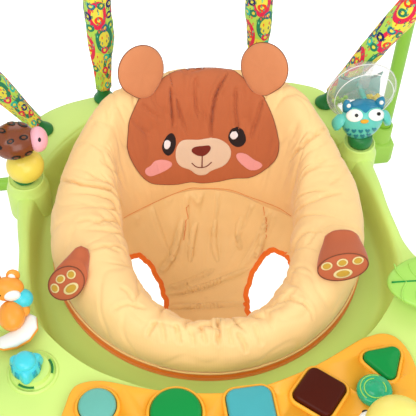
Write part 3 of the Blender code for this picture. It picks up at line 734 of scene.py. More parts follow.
def smooth_step(value: float, low: float, high: float) -> float:
    """0 below low, 1 above high, an easy curve between."""
    t = min(max((value - low) / (high - low), 0.0), 1.0)
    return t * t * (3 - 2 * t)


def hump(value: float, low: float, full: float, leave: float, gone: float) -> float:
    """0 below low, 1 from full to leave, 0 above gone."""
    return smooth_step(value, low, full) * (1 - smooth_step(value, leave, gone))


def ride(piece: Piece, body: str, slot: str, *nodes: str) -> Piece:
    """Puts a piece on its body, in place of its nodes.

    Args:
        piece: the piece.
        body: what it rides on. slot: not used.
        nodes: what it stands for.

    Returns:
        The piece.
    """
    if nodes:
        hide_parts(*nodes)
    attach(piece, body)
    LOG.info("%s on %s", piece.name, body)
    return piece


@dataclass(frozen=True)
class PhotoView:
    """The photograph's camera: where it stands, and the ray through each of its 416 pixels."""

    azimuth: float = -10.0
    elevation: float = 50.0
    roll: float = -1.5
    distance: float = 1.17
    focal: float = 900.0
    centre: Point = (208.0, 216.0)
    aim: tuple[float, float, float] = (0.0, 0.0, 0.415)
    size: float = 416.0

    def axes(self) -> tuple[Vector, Vector, Vector, Vector]:
        """The camera's right, up and back directions, and its place.

        Returns:
            Right, up, back and place.
        """
        a, e, r = (math.radians(v) for v in (self.azimuth, self.elevation, self.roll))
        back = Vector((math.sin(a) * math.cos(e), -math.cos(a) * math.cos(e), math.sin(e)))
        right = Vector((math.cos(a), math.sin(a), 0))
        up = back.cross(right)
        right = right * math.cos(r) - up * math.sin(r)
        return right, back.cross(right), back, Vector(self.aim) + back * self.distance

    def ray(self, x: float, y: float) -> tuple[Vector, Vector]:
        """The place and direction of the ray through a pixel.

        Args:
            x, y: the pixel.

        Returns:
            The place and the direction.
        """
        right, up, back, eye = self.axes()
        way = right * ((x - self.centre[0]) / self.focal) - up * ((y - self.centre[1]) / self.focal) - back
        return eye, way.normalized()

    def pixel(self, place: Vector) -> Point:
        """The pixel at which a place is seen.

        Args:
            place: a place in metres.

        Returns:
            The pixel.
        """
        right, up, back, eye = self.axes()
        off = place - eye
        depth = -off.dot(back)
        x, y = self.centre
        return x + self.focal * off.dot(right) / depth, y - self.focal * off.dot(up) / depth

    def camera(self) -> None:
        """Sets up the scene's camera."""
        right, up, back, eye = self.axes()
        data = bpy.data.cameras.new("photo_camera")
        data.sensor_width = 36
        data.lens = 36 * self.focal / self.size
        data.shift_y = (self.centre[1] - self.size / 2) / self.size
        data.clip_start = 0.05
        obj = linked("photo_camera", data)
        turn = Matrix((right, up, back)).transposed().to_4x4()
        turn.translation = eye
        obj.matrix_world = turn
        bpy.context.scene.camera = obj


VIEW = PhotoView()


@dataclass
class Applique:
    """Lays prints, seams and creases on a surface where the photograph shows them."""

    surface: Piece
    clear: float = 0.35
    reach: float = 0.13
    tree: BVHTree = field(init=False)

    def __post_init__(self) -> None:
        """Reads the surface once."""
        self.refresh()

    def refresh(self) -> None:
        """Reads the surface's present shape."""
        mesh = self.surface.data
        self.tree = BVHTree.FromPolygons([v.co for v in mesh.vertices],
            [tuple(p.vertices) for p in mesh.polygons])

    def hit(self, x: float, y: float, lift: float = 0.0) -> Vector | None:
        """The surface point seen at a pixel, raised by lift.

        Args:
            x, y: the pixel.
            lift: how far it is raised, in metres.

        Returns:
            The point, or None beside the surface.
        """
        eye, way = VIEW.ray(x, y)
        place, normal, _, _ = self.tree.ray_cast(eye, way)
        if place is None:
            return None
        return place + (normal if normal.dot(way) < 0 else -normal) * lift

    def patch(self, name: str, outline: Sequence[Point], finish: Finish, lift: float = 0.6, rings: int = 10,
            steps: int = 5, thick: float = 0.5) -> Piece:
        """A thin print on the surface.

        Args:
            name: the piece's name.
            outline: its outline in pixels.
            finish: its finish.
            lift: its height over the surface beyond the clear gap, in mm.
            rings: how finely it follows the surface.
            steps: points between two given ones.
            thick: its own thickness, in mm.

        Returns:
            The object.
        """
        edge = looped(outline, steps)
        count, height = len(edge), (lift + self.clear) * MM
        mid = (sum(p[0] for p in edge) / count, sum(p[1] for p in edge) / count)

        def seek(x: float, y: float, t: float) -> Vector | None:
            """The surface part of the way from the middle to a point of the outline."""
            return self.hit(mid[0] + (x - mid[0]) * t, mid[1] + (y - mid[1]) * t, height)

        centre = self.hit(*mid, height)
        points, faces = [centre], [(0, 1 + (j + 1) % count, 1 + j) for j in range(count)]
        for k in range(1, rings + 1):
            for x, y in edge:
                t = k / rings
                found = seek(x, y, t)
                while (found is None or (found - centre).length > self.reach) and t > 0.1:
                    t -= 0.02
                    found = seek(x, y, t)
                points.append(found or centre)
        for k in range(rings - 1):
            faces += band(1 + k * count, 1 + (k + 1) * count, count)
        made = mesh_piece(name, points, faces, finish, uvs=lambda v: (points[v].x, points[v].y * 0.6
            + points[v].z * 0.8), fix=False)
        if made.data.polygons[0].normal.dot(VIEW.ray(*mid)[1]) > 0:
            made.data.flip_normals()
        wall = made.modifiers.new("wall", "SOLIDIFY")
        wall.thickness = thick * MM
        wall.offset = -1
        return applied(made)

    def seam(self, name: str, path: Sequence[Point], finish: Finish, radius: float = 0.7, lift: float = 0.2,
            closed: bool = False) -> Piece:
        """A raised sewn line along pixels of the surface.

        Args:
            name: the piece's name.
            path: pixels of the photograph.
            finish: its finish.
            radius, lift: half its width and its rise in mm.
            closed: joins its ends.

        Returns:
            The object.
        """
        kept = []
        for x, y in looped(path, 8) if closed else rounded(path, 10):
            point = self.hit(x, y, lift * MM)
            if point is not None and (not kept or (point - kept[-1]).length > 0.8 * MM):
                kept.append(point)
        return piped(name, kept, radius * MM, finish, sides=8, closed=closed)

    def crease(self, folds: Sequence[tuple[Sequence[Point], float, float]]) -> None:
        """Sinks folds into the surface: each is pixels, a width and a depth in mm.

        Args:
            folds: their pixels, widths and depths.
        """
        places = []
        for path, width, depth in folds:
            line = [(x, y) for x, y in rounded(path, 14)]
            count = len(line)
            for i, (x, y) in enumerate(line):
                found = self.hit(x, y)
                if found is not None:
                    taper = min(1.0, 4 * min(i + 1, count - i) / count)
                    places.append((found, width * MM, depth * MM * taper))
        finder = KDTree(len(places))
        for i, (place, _, _) in enumerate(places):
            finder.insert(place, i)
        finder.balance()
        mesh = self.surface.data
        normals = [v.normal.copy() for v in mesh.vertices]
        reach = 3.2 * max(width for _, width, _ in places)
        for vertex, normal in zip(mesh.vertices, normals):
            deepest = 0.0
            for _, i, away in finder.find_range(vertex.co, reach):
                _, width, depth = places[i]
                t = away / width
                move = -depth * math.exp(-t * t) + 0.42 * depth * math.exp(-((t - 1.9) / 0.8) ** 2)
                if abs(move) > abs(deepest):
                    deepest = move
            vertex.co += normal * deepest
        mesh.update()
        self.refresh()


# Frame and straps

def cad_copy(node: str, name: str, finish: Finish, angle: float = 35.0) -> Piece:
    """A merged copy of a CAD solid, smooth where its faces meet at less than angle, with its edges eased.

    Args:
        node: the solid.
        name: the piece's name.
        finish: its finish.
        angle: in degrees.

    Returns:
        The object.
    """
    work = bmesh.new()
    work.from_mesh(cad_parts[node].data)
    bmesh.ops.remove_doubles(work, verts=work.verts, dist=2e-6)
    bmesh.ops.dissolve_limit(work, angle_limit=math.radians(1.0), verts=work.verts, edges=work.edges)
    sharp = [e for e in work.edges if len(e.link_faces) == 2 and e.calc_face_angle(0) > math.radians(angle)]
    bmesh.ops.bevel(work, geom=sharp, offset=0.0007, segments=2, affect="EDGES", profile=0.6,
        clamp_overlap=True)
    mesh = bpy.data.meshes.new(name)
    work.to_mesh(mesh)
    work.free()
    mesh.polygons.foreach_set("use_smooth", [True] * len(mesh.polygons))
    mesh.set_sharp_from_angle(angle=math.radians(angle))
    mesh.materials.clear()
    mesh.materials.append(finish.material())
    return linked(name, mesh)


@dataclass
class TubeFrame:
    """The steel frame that stands on the floor: two arches, two floor tubes, a rail and their fittings."""

    tube: float = 0.0125
    arch_x: float = 0.425
    leg_y: float = 0.455
    rail_z: float = 0.845
    bend: float = 0.11
    foot_z: float = 0.0103
    base_z: float = 0.026
    rear_rail_y: float = 0.29
    inset: float = 0.0168

    def arch(self, side: int) -> list[Vector]:
        """The middle line of one arch.

        Args:
            side: -1 or 1.

        Returns:
            The line's points.
        """
        x, path = side * self.arch_x, []
        for ahead in (-1, 1):
            leg = [(x, ahead * self.leg_y, self.foot_z + (self.rail_z - self.bend - self.foot_z) * t / 6)
                for t in range(7)]
            for i in range(1, 17):
                a = math.pi / 2 * i / 16
                leg.append((x, ahead * (self.leg_y - self.bend + self.bend * math.cos(a)),
                    self.rail_z - self.bend + self.bend * math.sin(a)))
            path += leg if ahead < 0 else leg[::-1]
        return [Vector(p) for p in path]

    def build(self) -> None:
        """Makes the tubes and fittings."""
        for side, hand in HANDS:
            ride(piped(f"steel_arch_{hand}", self.arch(side), self.tube, Finish.FRAME, 32), "frame",
                "frame_paint", f"arch_{hand}")
            for node in (f"foot_front_{hand}", f"foot_rear_{hand}", f"rail_clamp_{hand}"):
                ride(cad_copy(node, f"moulded_{node}", Finish.JOINT), "frame", "frame_plastic", node)
        reach = self.arch_x - self.inset
        for name, y, z in (("base_tube_front", -self.leg_y, self.base_z), ("base_tube_rear", self.leg_y,
                self.base_z), ("rear_top_rail", self.rear_rail_y, self.rail_z)):
            path = [(-reach + 2 * reach * t / 12, y, z) for t in range(13)]
            ride(piped(f"steel_{name}", path, self.tube, Finish.FRAME, 32), "frame", "frame_paint", name)


@dataclass
class Strap:
    """One sprung strap: a clamp on its rail, a coil spring inside a gathered printed sleeve, and a hook."""

    name: str
    base: Point
    top: Point
    seed: float
    tray_top: float = 0.4003
    rail_z: float = 0.845
    hook_long: float = 0.036
    lug_long: float = 0.05
    sleeve_r: float = 0.019
    wall: float = 0.0018
    sleeve_start: float = 0.022
    sleeve_stop: float = 0.024
    hook_r: float = 0.0095
    sleeve_sides: int = 48
    gather: float = 0.0009
    fold: float = 0.0026
    crinkle: float = 0.0012
    slack: float = 1.06
    turns: int = 9
    coil_r: float = 0.0115
    wire_r: float = 0.0014
    play: float = 0.0017
    hook: tuple = ((0, 0.0138, 0), (0.001, 0.015, 0), (0.0035, 0.015, 0), (0.006, 0.0125, 0.4),
        (0.01, 0.0102, 0.9), (0.014, 0.0095, 1), (0.03, 0.0095, 1), (0.0345, 0.0095, 1), (0.036, 0.008, 1))

    def __post_init__(self) -> None:
        """Works out the strap's line."""
        self.low = Vector((*self.base, self.tray_top))
        self.high = Vector((*self.top, self.rail_z))
        self.way = (self.high - self.low).normalized()
        self.long = (self.high - self.low).length
        self.turn = UP.rotation_difference(self.way).to_matrix()

    def at(self, along: float, radius: float, angle: float) -> Vector:
        """A point beside the strap's line."""
        return self.low + self.turn @ polar(radius, angle, along)

    def sleeve(self) -> None:
        """The cloth tube, narrow where it is gathered on the hook and the clamp, with long soft folds."""
        rows, low, high = 72, self.sleeve_start, self.long - self.sleeve_stop
        outer, inner, area = [], [], 0.0
        for i in range(rows + 1):
            t = i / rows
            full = smooth_step(t, 0, 0.26) * smooth_step(1 - t, 0, 0.16)
            gathers = 0.25 + 0.75 * (1 - smooth_step(min(t, 1 - t), 0.02, 0.22))
            ring = []
            for a in angles(self.sleeve_sides):
                inside = (self.hook_r + 0.0006) * (1 - full) + (self.sleeve_r - self.wall) * full
                fold = (math.sin(a * 7 + 2.0 * math.sin(t * 5 + self.seed)) * self.gather * gathers + swirl(a,
                    1.4, t * 11 + self.seed) * self.fold * full + swirl(a, 3.5, t * 30 + self.seed)
                    * self.crinkle * full)
                ring.append((max(inside * (1 - 0.1 * full * math.cos(2 * a + self.seed)) + fold,
                    self.hook_r + 0.0005), a))
            along = low + (high - low) * t
            outer.append([self.at(along, radius + self.wall * 0.6, a) for radius, a in ring])
            inner.append([self.at(along, radius - 0.0002, a) for radius, a in ring])
        for ring, above in zip(outer, outer[1:]):
            for j, a in enumerate(ring):
                area += (ring[(j + 1) % self.sleeve_sides] - a).cross(above[j] - a).length
        made = skin(f"printed_sleeve_{self.name}", outer + inner[::-1], Finish.PRINT, wrap=True)
        self.stretched(made, "sleeve")

    def stretched(self, piece: Piece, kind: str) -> None:
        """Bakes a piece's place into its mesh and hides the strap's CAD node that it stands in for.

        Args:
            piece: the piece.
            kind: the node's word.
        """
        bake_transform(piece)
        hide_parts(f"strap_{kind}_{self.name}")
        LOG.info("%s between frame and tray", piece.name)

    def build(self) -> None:
        """Makes the strap's pieces."""
        node, rings = f"strap_hook_{self.name}", []
        for t, radius, lean in self.hook:
            spin = UP.rotation_difference((UP * (1 - lean) + self.way * lean).normalized()).to_matrix()
            centre = self.low + UP * t * (1 - lean) + self.way * t * lean
            rings.append([centre + spin @ polar(radius, a) for a in angles(32)])
        ride(skin(f"moulded_{node}", rings, Finish.HOOK), "tray", "hook_plastic", node)
        node = f"strap_hanger_{self.name}"
        ride(cad_copy(node, f"moulded_{node}", Finish.JOINT), "frame", "frame_plastic", node)
        start, stop = self.hook_long + self.play, self.long - self.lug_long - self.play
        steps, path = self.turns * 16, []
        for i in range(steps + 1):
            t = i / steps
            pull = 1 - 0.5 * (smooth_step(0.12 - t, 0, 0.12) + smooth_step(t, 0.94, 1.0))
            path.append(self.at(start + (stop - start) * t, self.coil_r * pull, math.tau * self.turns * t))
        spring = piped(f"coil_spring_{self.name}", path, self.wire_r, Finish.STEEL, 10)
        self.stretched(spring, "spring")
        self.sleeve()


@dataclass
class StrapSet:
    """The six straps that carry the tray."""

    rows: tuple = (("rear", (0.115, 0.258), (0.105, 0.29)), ("side", (0.207, 0.203), (0.425, 0.15)),
        ("front", (0.3, -0.225), (0.425, -0.15)))

    def build(self) -> None:
        """Makes each strap and its mirror twin."""
        for place, base, top in self.rows:
            for side, hand in HANDS:
                seed = sum(map(ord, place + hand)) % 17 * 0.7
                Strap(f"{place}_{hand}", (side * base[0], base[1]), (side * top[0], top[1]), seed).build()


# Tray

def eased(table: Sequence[Point], value: float) -> float:
    """Reads a table of (position, value) on a smooth line that doesn't overshoot between its rows.

    Args:
        table: its rows in order.
        value: a position.

    Returns:
        The value there.
    """
    slopes = [(b[1] - a[1]) / (b[0] - a[0]) for a, b in zip(table, table[1:])]
    tangents = [0.0]
    for before, after in zip(slopes, slopes[1:]):
        tangents.append(0.0 if before * after <= 0 else 2 * before * after / (before + after))
    tangents.append(0.0)
    for i in range(len(table) - 1):
        (a, low), (b, high) = table[i], table[i + 1]
        if value <= b or i == len(table) - 2:
            t, width = (value - a) / (b - a), b - a
            return ((1 + 2 * t) * (1 - t) ** 2 * low + t * (1 - t) ** 2 * width * tangents[i] + t * t
                * (3 - 2 * t) * high - t * t * (1 - t) * width * tangents[i + 1])
    return table[-1][1]


@dataclass
class PlayTray:
    """The blow-moulded play tray with its rim, its well and the bosses for the toys."""

    top: float = 0.4
    well_z: float = 0.35
    wall: float = 0.004
    skirt: float = 0.338
    hole: float = 0.165
    edge: tuple = ((0, 0.27), (29, 0.308), (34, 0.316), (41, 0.322), (50, 0.304), (58, 0.284), (66, 0.27),
        (78, 0.255), (90, 0.248), (102, 0.256), (108, 0.272), (114, 0.318), (119, 0.372), (126, 0.41),
        (135, 0.412), (146, 0.398), (158, 0.386), (170, 0.381), (180, 0.38))
    well: tuple = ((0, 0.246), (30, 0.243), (58, 0.237), (73, 0.23), (88, 0.228), (108, 0.238), (126, 0.25),
        (136, 0.25), (150, 0.246), (180, 0.243))
    towers: tuple = ((-0.2315, 0.1018, 0.0245, 0.414), (0.2315, 0.106, 0.0225, 0.414))
    stubs: tuple = ((-0.256, -0.118, 0.014, 0.406), (0.246, -0.15, 0.016, 0.408),
        (0.148, -0.332, 0.018, 0.408), (0.146, -0.278, 0.0095, 0.409))
    dial: tuple = (-0.233, -0.191, 0.0265)
    sides: int = 216

    def profile(self, edge: float, well: float) -> list[Point]:
        """The tray's cut face at one side, as (radius, height) from the hole out over the top and back below.

        Args:
            edge, well: the rim's and the well's radius here.

        Returns:
            The face's corners.
        """
        band, wall, top = min(edge - well, 0.04), self.wall, self.top
        upper = [(self.hole, self.well_z), (well - 0.03, self.well_z), (well - 0.012, self.well_z + 0.0004),
            (well - 0.002, self.well_z + 0.008), (well + 0.15 * band, top - 0.008),
            (well + 0.3 * band, top - 0.0015), (well + 0.44 * band, top), (edge - 0.38 * band, top),
            (edge - 0.22 * band, top - 0.0018), (edge - 0.1 * band, top - 0.006), (edge - 0.002, top - 0.014),
            (edge, top - 0.022)]
        lower = [(edge + 0.001, self.skirt), (edge - 0.003, self.skirt), (edge - 0.004, top - 0.02),
            (edge - 0.36 * band, top - wall), (well + 0.46 * band, top - wall),
            (well + 0.003, self.well_z + 0.002), (well - 0.008, self.well_z - wall),
            (self.hole, self.well_z - wall)]
        return rounded(upper, 3) + lower

    def build(self) -> None:
        """Makes the shell and its bosses as one piece."""
        rings = []
        for a in angles(self.sides):
            from_back = math.degrees(min(a, math.tau - a))
            rings.append([Vector((-r * math.sin(a), r * math.cos(a), z)) for r,
                z in self.profile(eased(self.edge, from_back), eased(self.well, from_back))])
        shell, pieces = creased(skin("moulded_tray", rings, Finish.TRAY, wrap=True), 60), []
        for i, (x, y, radius, top) in enumerate(self.towers):
            low, step = self.well_z + 0.002, 0.0035
            profile = [(radius + 0.0045, low), (radius + 0.004, self.top - 0.004),
                (radius + 0.0022, self.top + 0.001), (radius, self.top + 0.004), (radius, top - 0.0015),
                (radius - 0.0006, top - 0.0004), (radius - step * 0.5, top), (radius - step, top - 0.0012),
                (radius - step - 0.001, top - 0.0012), (0.0112, top - 0.0012), (0.0108, top - 0.0018),
                (0.0108, low + 0.001), (0.001, low + 0.001)]
            pieces.append(turned(f"tower_{i}", profile, Finish.BOSS, (x, y, 0)))
        for i, (x, y, radius, top) in enumerate(self.stubs):
            low = self.top - 0.006
            profile = [(radius + 0.0025, low), (radius + 0.0025, self.top + 0.0003),
                (radius, self.top + 0.0022), (radius, top - 0.0015), (radius - 0.0012, top), (0.0064, top),
                (0.006, top - 0.0006), (0.006, low + 0.001), (0.001, low + 0.001)]
            pieces.append(turned(f"stub_{i}", profile, Finish.BOSS, (x, y, 0)))
        pieces += self.dial_face()
        pieces = [shell, *(creased(piece, 50) for piece in pieces)]
        ride(joined("moulded_tray", pieces), "tray", "tray_plastic", "tray")

    def dial_face(self) -> list[Piece]:
        """The round plate under the ribbed knob, with a groove and three green windows.

        Returns:
            The pieces.
        """
        x, y, radius = self.dial
        top = self.top
        profile = [(radius + 0.0035, top - 0.003), (radius + 0.0035, top + 0.0002),
            (radius + 0.002, top + 0.0022), (radius + 0.0004, top + 0.0026), (radius - 0.0008, top + 0.0012),
            (radius - 0.0022, top + 0.0012), (radius - 0.0036, top + 0.003), (0.0212, top + 0.0036),
            (0.0206, top + 0.006), (0.02, top + 0.0098), (0.01, top + 0.01), (0.001, top + 0.01)]
        pieces = [turned("dial_plate", profile, Finish.BOSS, (x, y, 0))]
        for i, degrees in enumerate((8, 128, 248)):
            for shift, width, finish in ((0.0, 0.002, Finish.HOOK), (0.0018, 0.0008, Finish.LEAF)):
                path = [(x + (0.0225 + shift) * math.cos(math.radians(degrees + t)), y + (0.0225 + shift)
                    * math.sin(math.radians(degrees + t)), top + 0.0034 + shift * 0.15)
                    for t in range(-24, 25, 4)]
                pieces.append(piped(f"dial_window_{i}", path, width, finish, 12, flat=0.5))
        return pieces


@dataclass
class KeyPanel:
    """The amber sound panel with five keys, each in a raised collar."""

    low: float = 0.4003
    top: float = 0.409
    key_top: float = 0.417
    roller: tuple = (0.146, -0.278, 0)
    drill: Point = (0.39, 0.42)
    collar: tuple = ((0.0006, -0.002), (0.0006, 0.0022), (0.0012, 0.003), (0.0024, 0.0032), (0.0036, 0.0026),
        (0.0046, 0.0008), (0.0052, -0.002))
    outline: tuple = ((-0.199, -0.244), (-0.19, -0.224), (-0.177, -0.217), (-0.154, -0.218), (-0.115, -0.232),
        (-0.07, -0.245), (-0.017, -0.253), (0.026, -0.25), (0.064, -0.241), (0.1, -0.229), (0.146, -0.208),
        (0.16, -0.204), (0.178, -0.202), (0.193, -0.21), (0.202, -0.23), (0.204, -0.255), (0.202, -0.28),
        (0.19, -0.296), (0.165, -0.306), (0.135, -0.312), (0.1, -0.33), (0.05, -0.338), (0, -0.342),
        (-0.06, -0.342), (-0.11, -0.338), (-0.16, -0.33), (-0.196, -0.31), (-0.206, -0.28), (-0.204, -0.258))
    keys: tuple = (("key_1", (-0.163, -0.251), (0, 0.0, 0.021, 0), Finish.KEY_PALE, "key_grey_teal"),
        ("key_2", (-0.078, -0.271), (0, 0.0, 0.0285, 0), Finish.KEY_GREEN, "key_green"),
        ("key_3", (0.005, -0.279), (4, 0.019, 0.0125, 45), Finish.KEY_BLUE, "key_blue"),
        ("key_4", (0.085, -0.27), (4, 0.0215, 0.009, 2), Finish.KEY_BROWN, "key_brown"),
        ("key_5", (0.168, -0.242), (3, 0.0155, 0.0085, 34), Finish.KEY_GREEN, "key_green"))

    def shape(self, corners: int, reach: float, radius: float, turn: float, grow: float = 0.0) -> list[Point]:
        """The outline of a key about its middle: a circle, or a polygon with round corners.

        Args:
            corners: 0 for a circle.
            reach: from the middle to a corner arc.
            radius: of the arcs.
            turn: in degrees.
            grow: added all round.

        Returns:
            The points in metres.
        """
        if not corners:
            return oval(0, 0, radius + grow, radius + grow, 72)
        out, steps, radius = [], 24, radius + grow
        for i in range(corners):
            way = math.radians(turn) + math.tau * i / corners
            after = way + math.tau / corners
            for k in range(steps):
                a = way + (k / (steps - 1) - 0.5) * math.tau / corners
                out.append((reach * math.cos(way) + radius * math.cos(a), reach * math.sin(way) + radius
                    * math.sin(a)))
            here = out[-1]
            a = after - math.pi / corners
            there = (reach * math.cos(after) + radius * math.cos(a), reach * math.sin(after) + radius
                * math.sin(a))
            out += [(here[0] + (there[0] - here[0]) * k / 4, here[1] + (there[1] - here[1]) * k / 4)
                for k in (1, 2, 3)]
        return out

    def build(self) -> None:
        """Makes the panel with its collars, and the keys."""
        body = slab("amber_panel", looped(self.outline, 8)[::-1], self.low, self.top, 0.003, Finish.PANEL)
        cut(body, turned("roller_opening", [(0.0104, z) for z in self.drill], Finish.PANEL, self.roller))
        pieces = [body]
        for name, (x, y), form, finish, slot in self.keys:
            def level(grow: float, z: float) -> list[Vector]:
                """The key's outline, grown, at a height."""
                return [Vector((x + dx, y + dy, z)) for dx, dy in self.shape(*form, grow)]

            cut(body, skin(f"hole_{name}", [level(self.collar[0][0], z) for z in self.drill], Finish.PANEL))
            rings = [level(grow, self.top + z) for grow, z in self.collar]
            pieces.append(skin(f"collar_{name}", rings, Finish.PANEL, wrap=True))
            outline = [(x + dx, y + dy) for dx, dy in self.shape(*form)]
            key = button(f"moulded_{name}", outline, self.low + 0.0036, self.key_top, 0.0045, finish, 0.0018,
                7)
            ride(key, name, slot, name)
        ride(joined("amber_panel", pieces), "tray", "panel_plastic", "key_panel")


# Seat

@dataclass
class BearSeat:
    """The padded seat: its roll and back, the hanging bucket, and the bear's face, ears and paws."""

    turn: float = math.radians(-5.6)
    side: tuple = ((140, 355.2), (147.5, 355.2), (148.6, 355.3), (149.4, 355.4), (195, 356.2), (203, 374),
        (204, 408), (194, 440), (175, 455), (150, 456), (128, 446), (117, 432), (113, 414), (114, 396),
        (121, 377), (130, 362))
    nose: tuple = ((140, 355.2), (147.5, 355.2), (148.6, 355.3), (149.4, 355.4), (196, 356.2), (206, 371),
        (211, 396), (208, 419), (199, 434), (187, 437), (175, 431), (166, 418), (158, 402), (151, 388),
        (145, 375), (141, 364))
    back: tuple = ((118, 334.2), (126, 334.2), (149.0, 344), (149.4, 355.4), (195, 356.2), (204, 375),
        (205, 408), (206, 440), (202, 475), (193, 500), (179, 509), (165, 504), (154, 484), (145, 450),
        (133, 405), (122, 365))
    bucket_low: float = 0.2278
    bucket_wall: float = 0.0035
    hole_degrees: float = 15.7
    hole_tilt: float = math.radians(30)
    hole_z: float = 0.298
    hole_w: float = 0.0576
    hole_h: float = 0.0437
    hole_shift: float = -0.0131
    binding_r: float = 0.0046
    pad_sides: int = 600
    pad_steps: int = 8
    bucket_sides: int = 360
    bucket_steps: int = 14
    drop: tuple = ((1.0, 0.0), (0.95, 0.25), (0.86, 0.5), (0.72, 0.74), (0.48, 0.92), (0.2, 0.99),
        (0.002, 1.0))
    foot_z: float = 0.3676
    ear_at: tuple = (0.172, 28, 0.5325)
    ear_size: tuple = (0.0325, 0.034, 0.012)
    ear_lean: float = math.radians(20)
    ear_levels: tuple = ((0.02, -0.5), (0.3, -0.495), (0.6, -0.46), (0.82, -0.38), (0.93, -0.26),
        (0.985, -0.12), (1.0, 0.0), (0.985, 0.12), (0.93, 0.26), (0.82, 0.38), (0.6, 0.46), (0.3, 0.495),
        (0.02, 0.5))
    ring: tuple = ((0.151, 0.3545), (0.2055, 0.3545), (0.206, 0.354), (0.206, 0.3505), (0.1644, 0.3503),
        (0.1644, 0.3457), (0.173, 0.3457), (0.173, 0.34), (0.151, 0.34))
    foot: list = field(default_factory=list)

    def spot(self, radius: float, degrees: float, z: float) -> Vector:
        """A point of the seat, which rests turned a little from the tray."""
        return polar(radius, math.radians(degrees) + self.turn, z)

    def weight(self, degrees: float) -> float:
        """1 behind the child, 0 round the front."""
        return 1 - smooth_step(abs((degrees + 90) % 360 - 180), 38, 92)

    def nose_weight(self, degrees: float) -> float:
        """1 in front of the child, 0 beside and behind."""
        return 1 - smooth_step(abs((degrees - 90) % 360 - 180), 8, 74)

    @staticmethod
    def pleat(angle: float, part: float, density: float, seed: float) -> float:
        """1 at the bottom of a pleat and 0 between pleats, which run across the roll and wander a little."""
        drift = 0.07 * swirl(angle, 2, part * 0.5 + seed)
        return max(0.0, 1 - abs(swirl(angle + drift, density, part * 0.24 + seed)) * 5.2) ** 1.7

    def puffed(self, a: float, part: float, w: float, n: float) -> float:
        """How far the pad's cloth stands out at a place, in mm.

        Args:
            a: the angle round the seat.
            part: the place round the section, in rows of its table.
            w: how much this is the back rest.
            n: how much this is the front.

        Returns:
            The move away from the section's middle.
        """
        inner = smooth_step(part, 10.5, 12.5)
        loose = hump(part, 4.4, 6.0, 15.0, 15.9)
        front = n * hump(part, 8.0, 9.8, 13.5, 15)
        crown = w * hump(part, 8.2, 9.2, 11.2, 12.6)
        flank = (1 - w) * (1 - n) * hump(part, 7.5, 10.0, 14, 15.5)
        stuffing = (1.9 + 0.9 * n) * swirl(a, 3.2, part * 0.45 + 7)
        folds = (1.2 + 1.4 * inner) * swirl(a, 9, part * 0.3) + (0.35 + 0.65 * inner) * swirl(a, 20,
            part * 0.55 + 3)
        bulge = swirl(a, 7, part * 0.5 + 31)
        pleats = (8.0 * front * self.pleat(a, part, 6.0, 1.0) + 3.6 * crown * self.pleat(a, part, 8.0, 4.0)
            + 4.6 * flank * self.pleat(a, part, 6.5, 9.0) + 1.7 * loose * self.pleat(a, part * 1.6, 4.5,
            13.0))
        return loose * (stuffing + folds) - pleats + (2.6 + 3.4 * bulge) * front + (1.5 + 1.6 * bulge) * flank

    def pad(self) -> Applique:
        """The roll and back rest, stuffed cloth with gathers toward its seams.

        Returns:
            The surface for its prints.
        """
        steps, rings = self.pad_steps, []
        sections = [looped(table, steps) for table in (self.side, self.nose, self.back)]
        for j in range(self.pad_sides):
            degrees = 360 * j / self.pad_sides
            w, n = self.weight(degrees), self.nose_weight(degrees)
            mid_r, mid_z = 157 + 12 * w + 19 * n, 408 + 32 * w - 12 * n
            ring = []
            for k, (beside, before, behind) in enumerate(zip(*sections)):
                r, z = (beside[i] * (1 - w - n) + before[i] * n + behind[i] * w for i in (0, 1))
                away = math.hypot(r - mid_r, z - mid_z)
                move = self.puffed(math.radians(degrees), k / steps, w, n)
                r, z = r + (r - mid_r) / away * move, z + (z - mid_z) / away * move
                ring.append(self.spot(r * MM, degrees, max(z, 355.3 if r > 149 else 334.2) * MM))
            self.foot.append(min(ring[4 * steps:7 * steps], key=lambda p: abs(p.z - self.foot_z)))
            rings.append(ring)
        laid = Applique(skin("stuffed_seat_pad", rings, Finish.CREAM, wrap=True))
        laid.crease(PAD_FOLDS)
        return laid

    def bucket(self) -> Applique:
        """The hanging bucket of thin quilted cloth.

        Returns:
            The surface for its seams.
        """
        rings = []
        for f, g in rounded(self.drop, self.bucket_steps):
            ring = []
            for j in range(self.bucket_sides):
                degrees = 360 * j / self.bucket_sides
                w, a = self.weight(degrees), math.radians(degrees)
                rim_r, rim_z = (141.8 * (1 - w) + 120.2 * w) * MM, (355.0 * (1 - w) + 334.0 * w) * MM
                fold = 3.0 * swirl(a, 7, g * 1.2) * smooth_step(g, 0.02, 0.3)
                fold -= 4.8 * self.pleat(a, g * 3, 5.0, 21.0) * hump(g, 0.01, 0.12, 0.75, 0.98)
                fold *= smooth_step(f, 0.15, 0.6)
                slack = 2.4 * swirl(a, 2.5 * f, g * 6 + 5) * smooth_step(g, 0.1, 0.5)
                ring.append(self.spot(rim_r * f + fold * MM, degrees, rim_z + (self.bucket_low - rim_z) * g
                    + slack * MM))
            rings.append(ring)
        made = skin("hanging_seat_bucket", rings, Finish.BUCKET, cap=False)
        if made.data.polygons[len(made.data.polygons) // 3].normal.z > 0:
            made.data.flip_normals()
        laid = Applique(made)
        laid.crease(BUCKET_FOLDS)
        return laid

